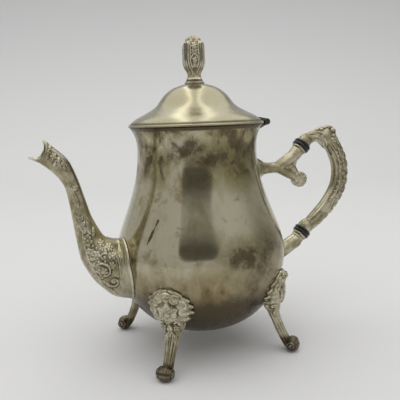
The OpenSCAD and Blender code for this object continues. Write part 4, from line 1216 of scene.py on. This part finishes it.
def make_turned_pieces(plate, cast, fibre):
    tree = turned_tree()
    lid = turned_piece("spun_lid", lid_outline(), tree, plate, 288)
    fit(lid, plate, "lid_assembly", "lid")
    r = CROWN_R
    outline = [[2.15, 0], [r + 0.6, 0], [r + 0.95, 0.35], [r + 1, 0.9], [r + 0.8, 1.5],
               [r + 0.1, 1.9], [r - 0.5, 2.4], [r - 0.75, 3.1], [r - 0.6, 3.6], [r - 0.9, 4.1],
               [r - 1.1, 4.5], [r - 1.5, COLLAR_H], [2.15, COLLAR_H]]
    collar = turned_piece("finial_ring", [[a, CROWN_Z + b] for a, b in outline], tree, cast, 160)
    fit(mark_hollows(collar), cast, "lid_assembly", "finial_collar")
    r, face = BREAK_R, BREAK_T / 2  # spigot, rounded edge, groove at the middle
    half = [[0.01, -face - 5.4], [3.1, -face - 5.4], [3.15, -face], [r - 1.3, -face],
            [r - 0.5, -face + 0.25], [r - 0.1, -face + 0.8], [r, -face + 1.2], [r, -0.9],
            [r - 0.25, -0.55], [r - 0.9, -0.3]]
    outline = half + [[a, -b] for a, b in half[::-1]]
    for name, z in (("upper", UPPER_Z), ("lower", LOWER_Z)):
        piece = turned_piece(name + "_heat_break", outline, tree, fibre, 120,
                             math.radians(LEAN), BREAK_X, z)
        fit(piece, fibre, "pot", name + "_insulator")


def make_hinge(material):
    """Body half of the hinge: three knuckles and their fingers on a strap behind the neck."""
    x, z, top = LID_R + 7.5, MOUTH_Z + 1.6, MOUTH_Z - 0.2
    r, half, long = KNUCKLE_R, HINGE_W / 2, (HINGE_W - 4 * KNUCKLE_GAP) / 5
    heel = [[float(body_r(h)) - 0.5, h] for h in np.linspace(top - 5.4, top, 7)]
    strap = heel + [[x - 3.6, top], [x - 3.6, top - 2.0], [heel[0][0] + 2.6, top - 4.9]]
    finger = [[x - 4.4, top], [x - 3.3, top], [x - 1.6, z - 1.1], [x + 1.2, z - 2.0],
              [x - 1.4, top - 1.2], [x - 4.4, top - 1.9]]
    places = [(y, y + long) for y in (-half, -long / 2, half - long)]
    shells = []
    for outline, start, end in [(strap, -half, half)] + [(finger, *ends) for ends in places]:
        flat = np.insert(np.array(outline), 1, 0, axis=1)
        shells.append(np.stack([flat + [0, start, 0], flat + [0, end, 0]]))
    for start, end in places:
        mid, a = (start + end) / 2, circle(48)
        knuckle, y = np.array([
            (r - 0.55, start), (r - 0.2, start + 0.1), (r, start + 0.35), (r, mid - 0.2),
            (r - 0.12, mid), (r, mid + 0.2), (r, end - 0.35), (r - 0.2, end - 0.1),
            (r - 0.55, end)]).T[..., None]
        shells.append(points(x + knuckle * np.cos(a), y, z + knuckle * np.sin(a)))
    obj = make_object("hinge_strap", *facing_out(shells))
    edges = obj.modifiers.new("Filed edges", "BEVEL")
    edges.width, edges.segments, edges.angle_limit = 0.28e-3, 2, math.radians(50)
    fit(smooth(settle(obj), 40), material, "pot", "hinge_body_leaf")


def dress_fittings(ring, hinge, brass):
    """Materials of the fittings that keep their drawn shape."""
    for material, names in (
            (ring, ("base_disc", "mouth_ring", "lid_bezel")),
            (hinge, ("hinge_lid_leaf", "hinge_pin")),
            (brass, ("upper_pins", "lower_pins", "finial_washer", "finial_nut"))):
        for name in names:
            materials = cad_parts[name].data.materials
            materials.clear()
            materials.append(material)


# ---- studio

YAW, PITCH, ROLL = 0.405180, 0.158242, -0.0353047  # of the camera
EYE = (-0.17417, -0.38597, 0.186871)
SENSOR, LENS = 36.0, 36.0 * 517.494862 / 400
AHEAD = np.array([math.sin(YAW), math.cos(YAW), 0])
RIGHT = np.array([math.cos(YAW), -math.sin(YAW), 0])


def stand(ahead, right, up):
    """Place in the studio, in metres from the frame's origin as the camera faces."""
    return tuple(AHEAD * ahead + RIGHT * right + [0, 0, up])


def make_paper():
    """Pale paper that sweeps up behind the pot, darker towards its top as painted shade."""
    bend = [(1.0 + 0.7 * math.sin(a), 0.7 - 0.7 * math.cos(a))
            for a in np.linspace(0, math.pi / 2, 24)]
    path = [(-2.2, 0.0)] + bend + [(1.7, 2.6)]
    mesh = bpy.data.meshes.new("studio_paper")
    mesh.from_pydata([stand(d, w, h - 0.0002) for d, h in path for w in (-3.0, 3.0)], [],
                     [(2 * k, 2 * k + 1, 2 * k + 3, 2 * k + 2) for k in range(len(path) - 1)])
    mesh.polygons.foreach_set("use_smooth", [True] * len(mesh.polygons))
    material, shader, place = new_material("Studio paper")
    # painted shade: the paper's colour darkens from the floor up the sweep, where less light would
    # reach
    colour = place.parts()[2].between(-0.15, 1.2).mixed((0.80, 0.80, 0.805), (0.49, 0.50, 0.50))
    plug(shader, Base_Color=colour, Roughness=0.85, Specular_IOR_Level=0.2)
    mesh.materials.append(material)
    add_object("studio_paper", mesh)


def mirrored_card(name, corners, shade):
    """Card that the silver mirrors and the camera doesn't see: shade gives its colour."""
    mesh = bpy.data.meshes.new(name)
    mesh.from_pydata(corners, [], [list(range(len(corners)))])
    material, shader, place = new_material(name.replace("_", " "))
    plug(shader, Base_Color=(0, 0, 0, 1), Roughness=1.0, Specular_IOR_Level=0.0,
         Emission_Color=shade(place), Emission_Strength=1.0)
    mesh.materials.append(material)
    card = add_object(name, mesh)
    card.visible_camera = card.visible_diffuse = card.visible_shadow = False


def figure_shade(place):
    return place.parts()[2].between(0.38, 0.53).mixed((0.10, 0.095, 0.08), (0.44, 0.435, 0.40))


def two_lamps(place):
    """Two bright bands overhead, with a dimmer gap between them."""
    across = place.vector("DOT_PRODUCT", tuple(RIGHT), 1)
    lamps = across.band(-0.38, -0.30, -0.20, -0.14) + across.band(0.10, 0.15, 0.22, 0.28) * 0.9
    gap = across.band(-0.20, -0.10, 0.06, 0.14)
    return lamps.mixed(gap.mixed((1.10, 1.09, 1.06), (0.95, 0.94, 0.92)), (2.5, 2.46, 2.36))


def make_mirrored_room():
    """What the silver mirrors: a dark figure before it, dim sides, and lights overhead."""
    half, low, high, bend = 0.36, 0.20, 1.21, 0.18
    corner = [(half - bend + bend * math.sin(k), low + bend - bend * math.cos(k))
              for k in np.linspace(0, math.pi / 2, 8)]
    edge = corner + [(half * 0.62, 0.56), (half * 0.5, high), (-half * 0.9, high)]
    edge += [(-x, z) for x, z in corner[::-1]]
    mirrored_card("dark_figure", [stand(-0.70, x - 0.035, z) for x, z in edge], figure_shade)
    for name, hand, front, fade, near, far in (
            ("right", 1, -0.5, (-0.42, 0.05), (0.60, 0.60, 0.59), (0.40, 0.395, 0.37)),
            ("left", -1, -1.6, (-0.70, -0.40), (0.56, 0.555, 0.535), (0.56, 0.555, 0.535))):
        corners = ((front, 0.02), (0.7, 0.02), (0.7, 1.0), (front, 1.0))
        mirrored_card("dim_room_" + name, [stand(d, hand, h) for d, h in corners], lambda place: (
            place.vector("DOT_PRODUCT", tuple(AHEAD), 1).between(*fade).mixed(near, far)))
    corners = ((-1.7, -1.9), (1.7, -1.9), (1.7, 1.9), (-1.7, 1.9))
    mirrored_card("ceiling_lights", [stand(d, w, 1.5) for d, w in corners], two_lamps)


def make_lights():
    """Softbox overhead, and a world that is dimmer for light than for what is seen."""
    light = bpy.data.lights.new("Overhead softbox", "AREA")
    light.shape, light.size, light.size_y = "RECTANGLE", 3.5, 3.0
    light.energy, light.color = 27, (1.0, 0.99, 0.97)
    lamp, place = add_object("Overhead softbox", light), Vector((-0.1, 0.0, 1.6))
    lamp.location = place
    lamp.rotation_euler = (Vector((-0.05, 0, 0.05)) - place).to_track_quat("-Z", "Y").to_euler()
    world = bpy.data.worlds.new("Studio")
    world.use_nodes = True
    bpy.context.scene.world = world
    camera_rays, glossy_rays = (
        Wire(world.node_tree).make("ShaderNodeLightPath", out=k) for k in (0, 3))
    seen = camera_rays.maths("MAXIMUM", glossy_rays)
    plug(world.node_tree.nodes["Background"], Strength=1.0,
         Color=seen.mixed((0.50, 0.50, 0.495), (0.60, 0.60, 0.59)))


def make_camera():
    ahead = Vector((math.sin(YAW) * math.cos(PITCH), math.cos(YAW) * math.cos(PITCH),
                    -math.sin(PITCH)))
    right = Vector(RIGHT)
    up, c, s = right.cross(ahead), math.cos(ROLL), math.sin(ROLL)
    data = bpy.data.cameras.new("Camera")
    data.sensor_width, data.lens = SENSOR, LENS
    data.clip_start, data.clip_end = 0.02, 20
    camera = add_object("Camera", data)
    turn = Matrix((c * right + s * up, c * up - s * right, -ahead)).transposed()
    camera.matrix_world = Matrix.Translation(EYE) @ turn.to_4x4()
    bpy.context.scene.camera = camera


# ---- the whole pot

plate_body = plate_material("Old silver plate of the body", body_marks, 0.10, 0.12, 0.2)
plate_lid = plate_material("Silver plate of the lid", lid_marks, 0.03, 0.23, 0.06)
cast_silver = cast_material("Cast silver with dark hollows", 0.64)
cast_grip = cast_material("Cast silver of the grip", 0.85, 0.20, grip_marks)
cast_feet = cast_material("Cast silver of the legs", 0.56, 0.24, leg_marks)
fibre_black = heat_break_material()
ring_plate, hinge_plate, old_brass = (fitting_material(*row) for row in (
    ("Tarnished plate of the rings", (0.50, 0.46, 0.34), (0.24, 0.20, 0.12), 0.32),
    ("Worn nickel of the hinge", (0.13, 0.12, 0.10), (0.03, 0.027, 0.022), 0.26),
    ("Old brass of the fastenings", (0.50, 0.36, 0.15), (0.18, 0.12, 0.05), 0.34)))

make_body(plate_body)
make_turned_pieces(plate_lid, cast_silver, fibre_black)
make_spout(cast_silver)
make_handle(cast_grip)
make_sockets(cast_silver)
make_legs(cast_feet)
make_finial(cast_silver)
make_hinge(hinge_plate)
dress_fittings(ring_plate, hinge_plate, old_brass)
make_paper()
make_mirrored_room()
make_lights()
make_camera()
bpy.context.scene.view_settings.view_transform = "Standard"
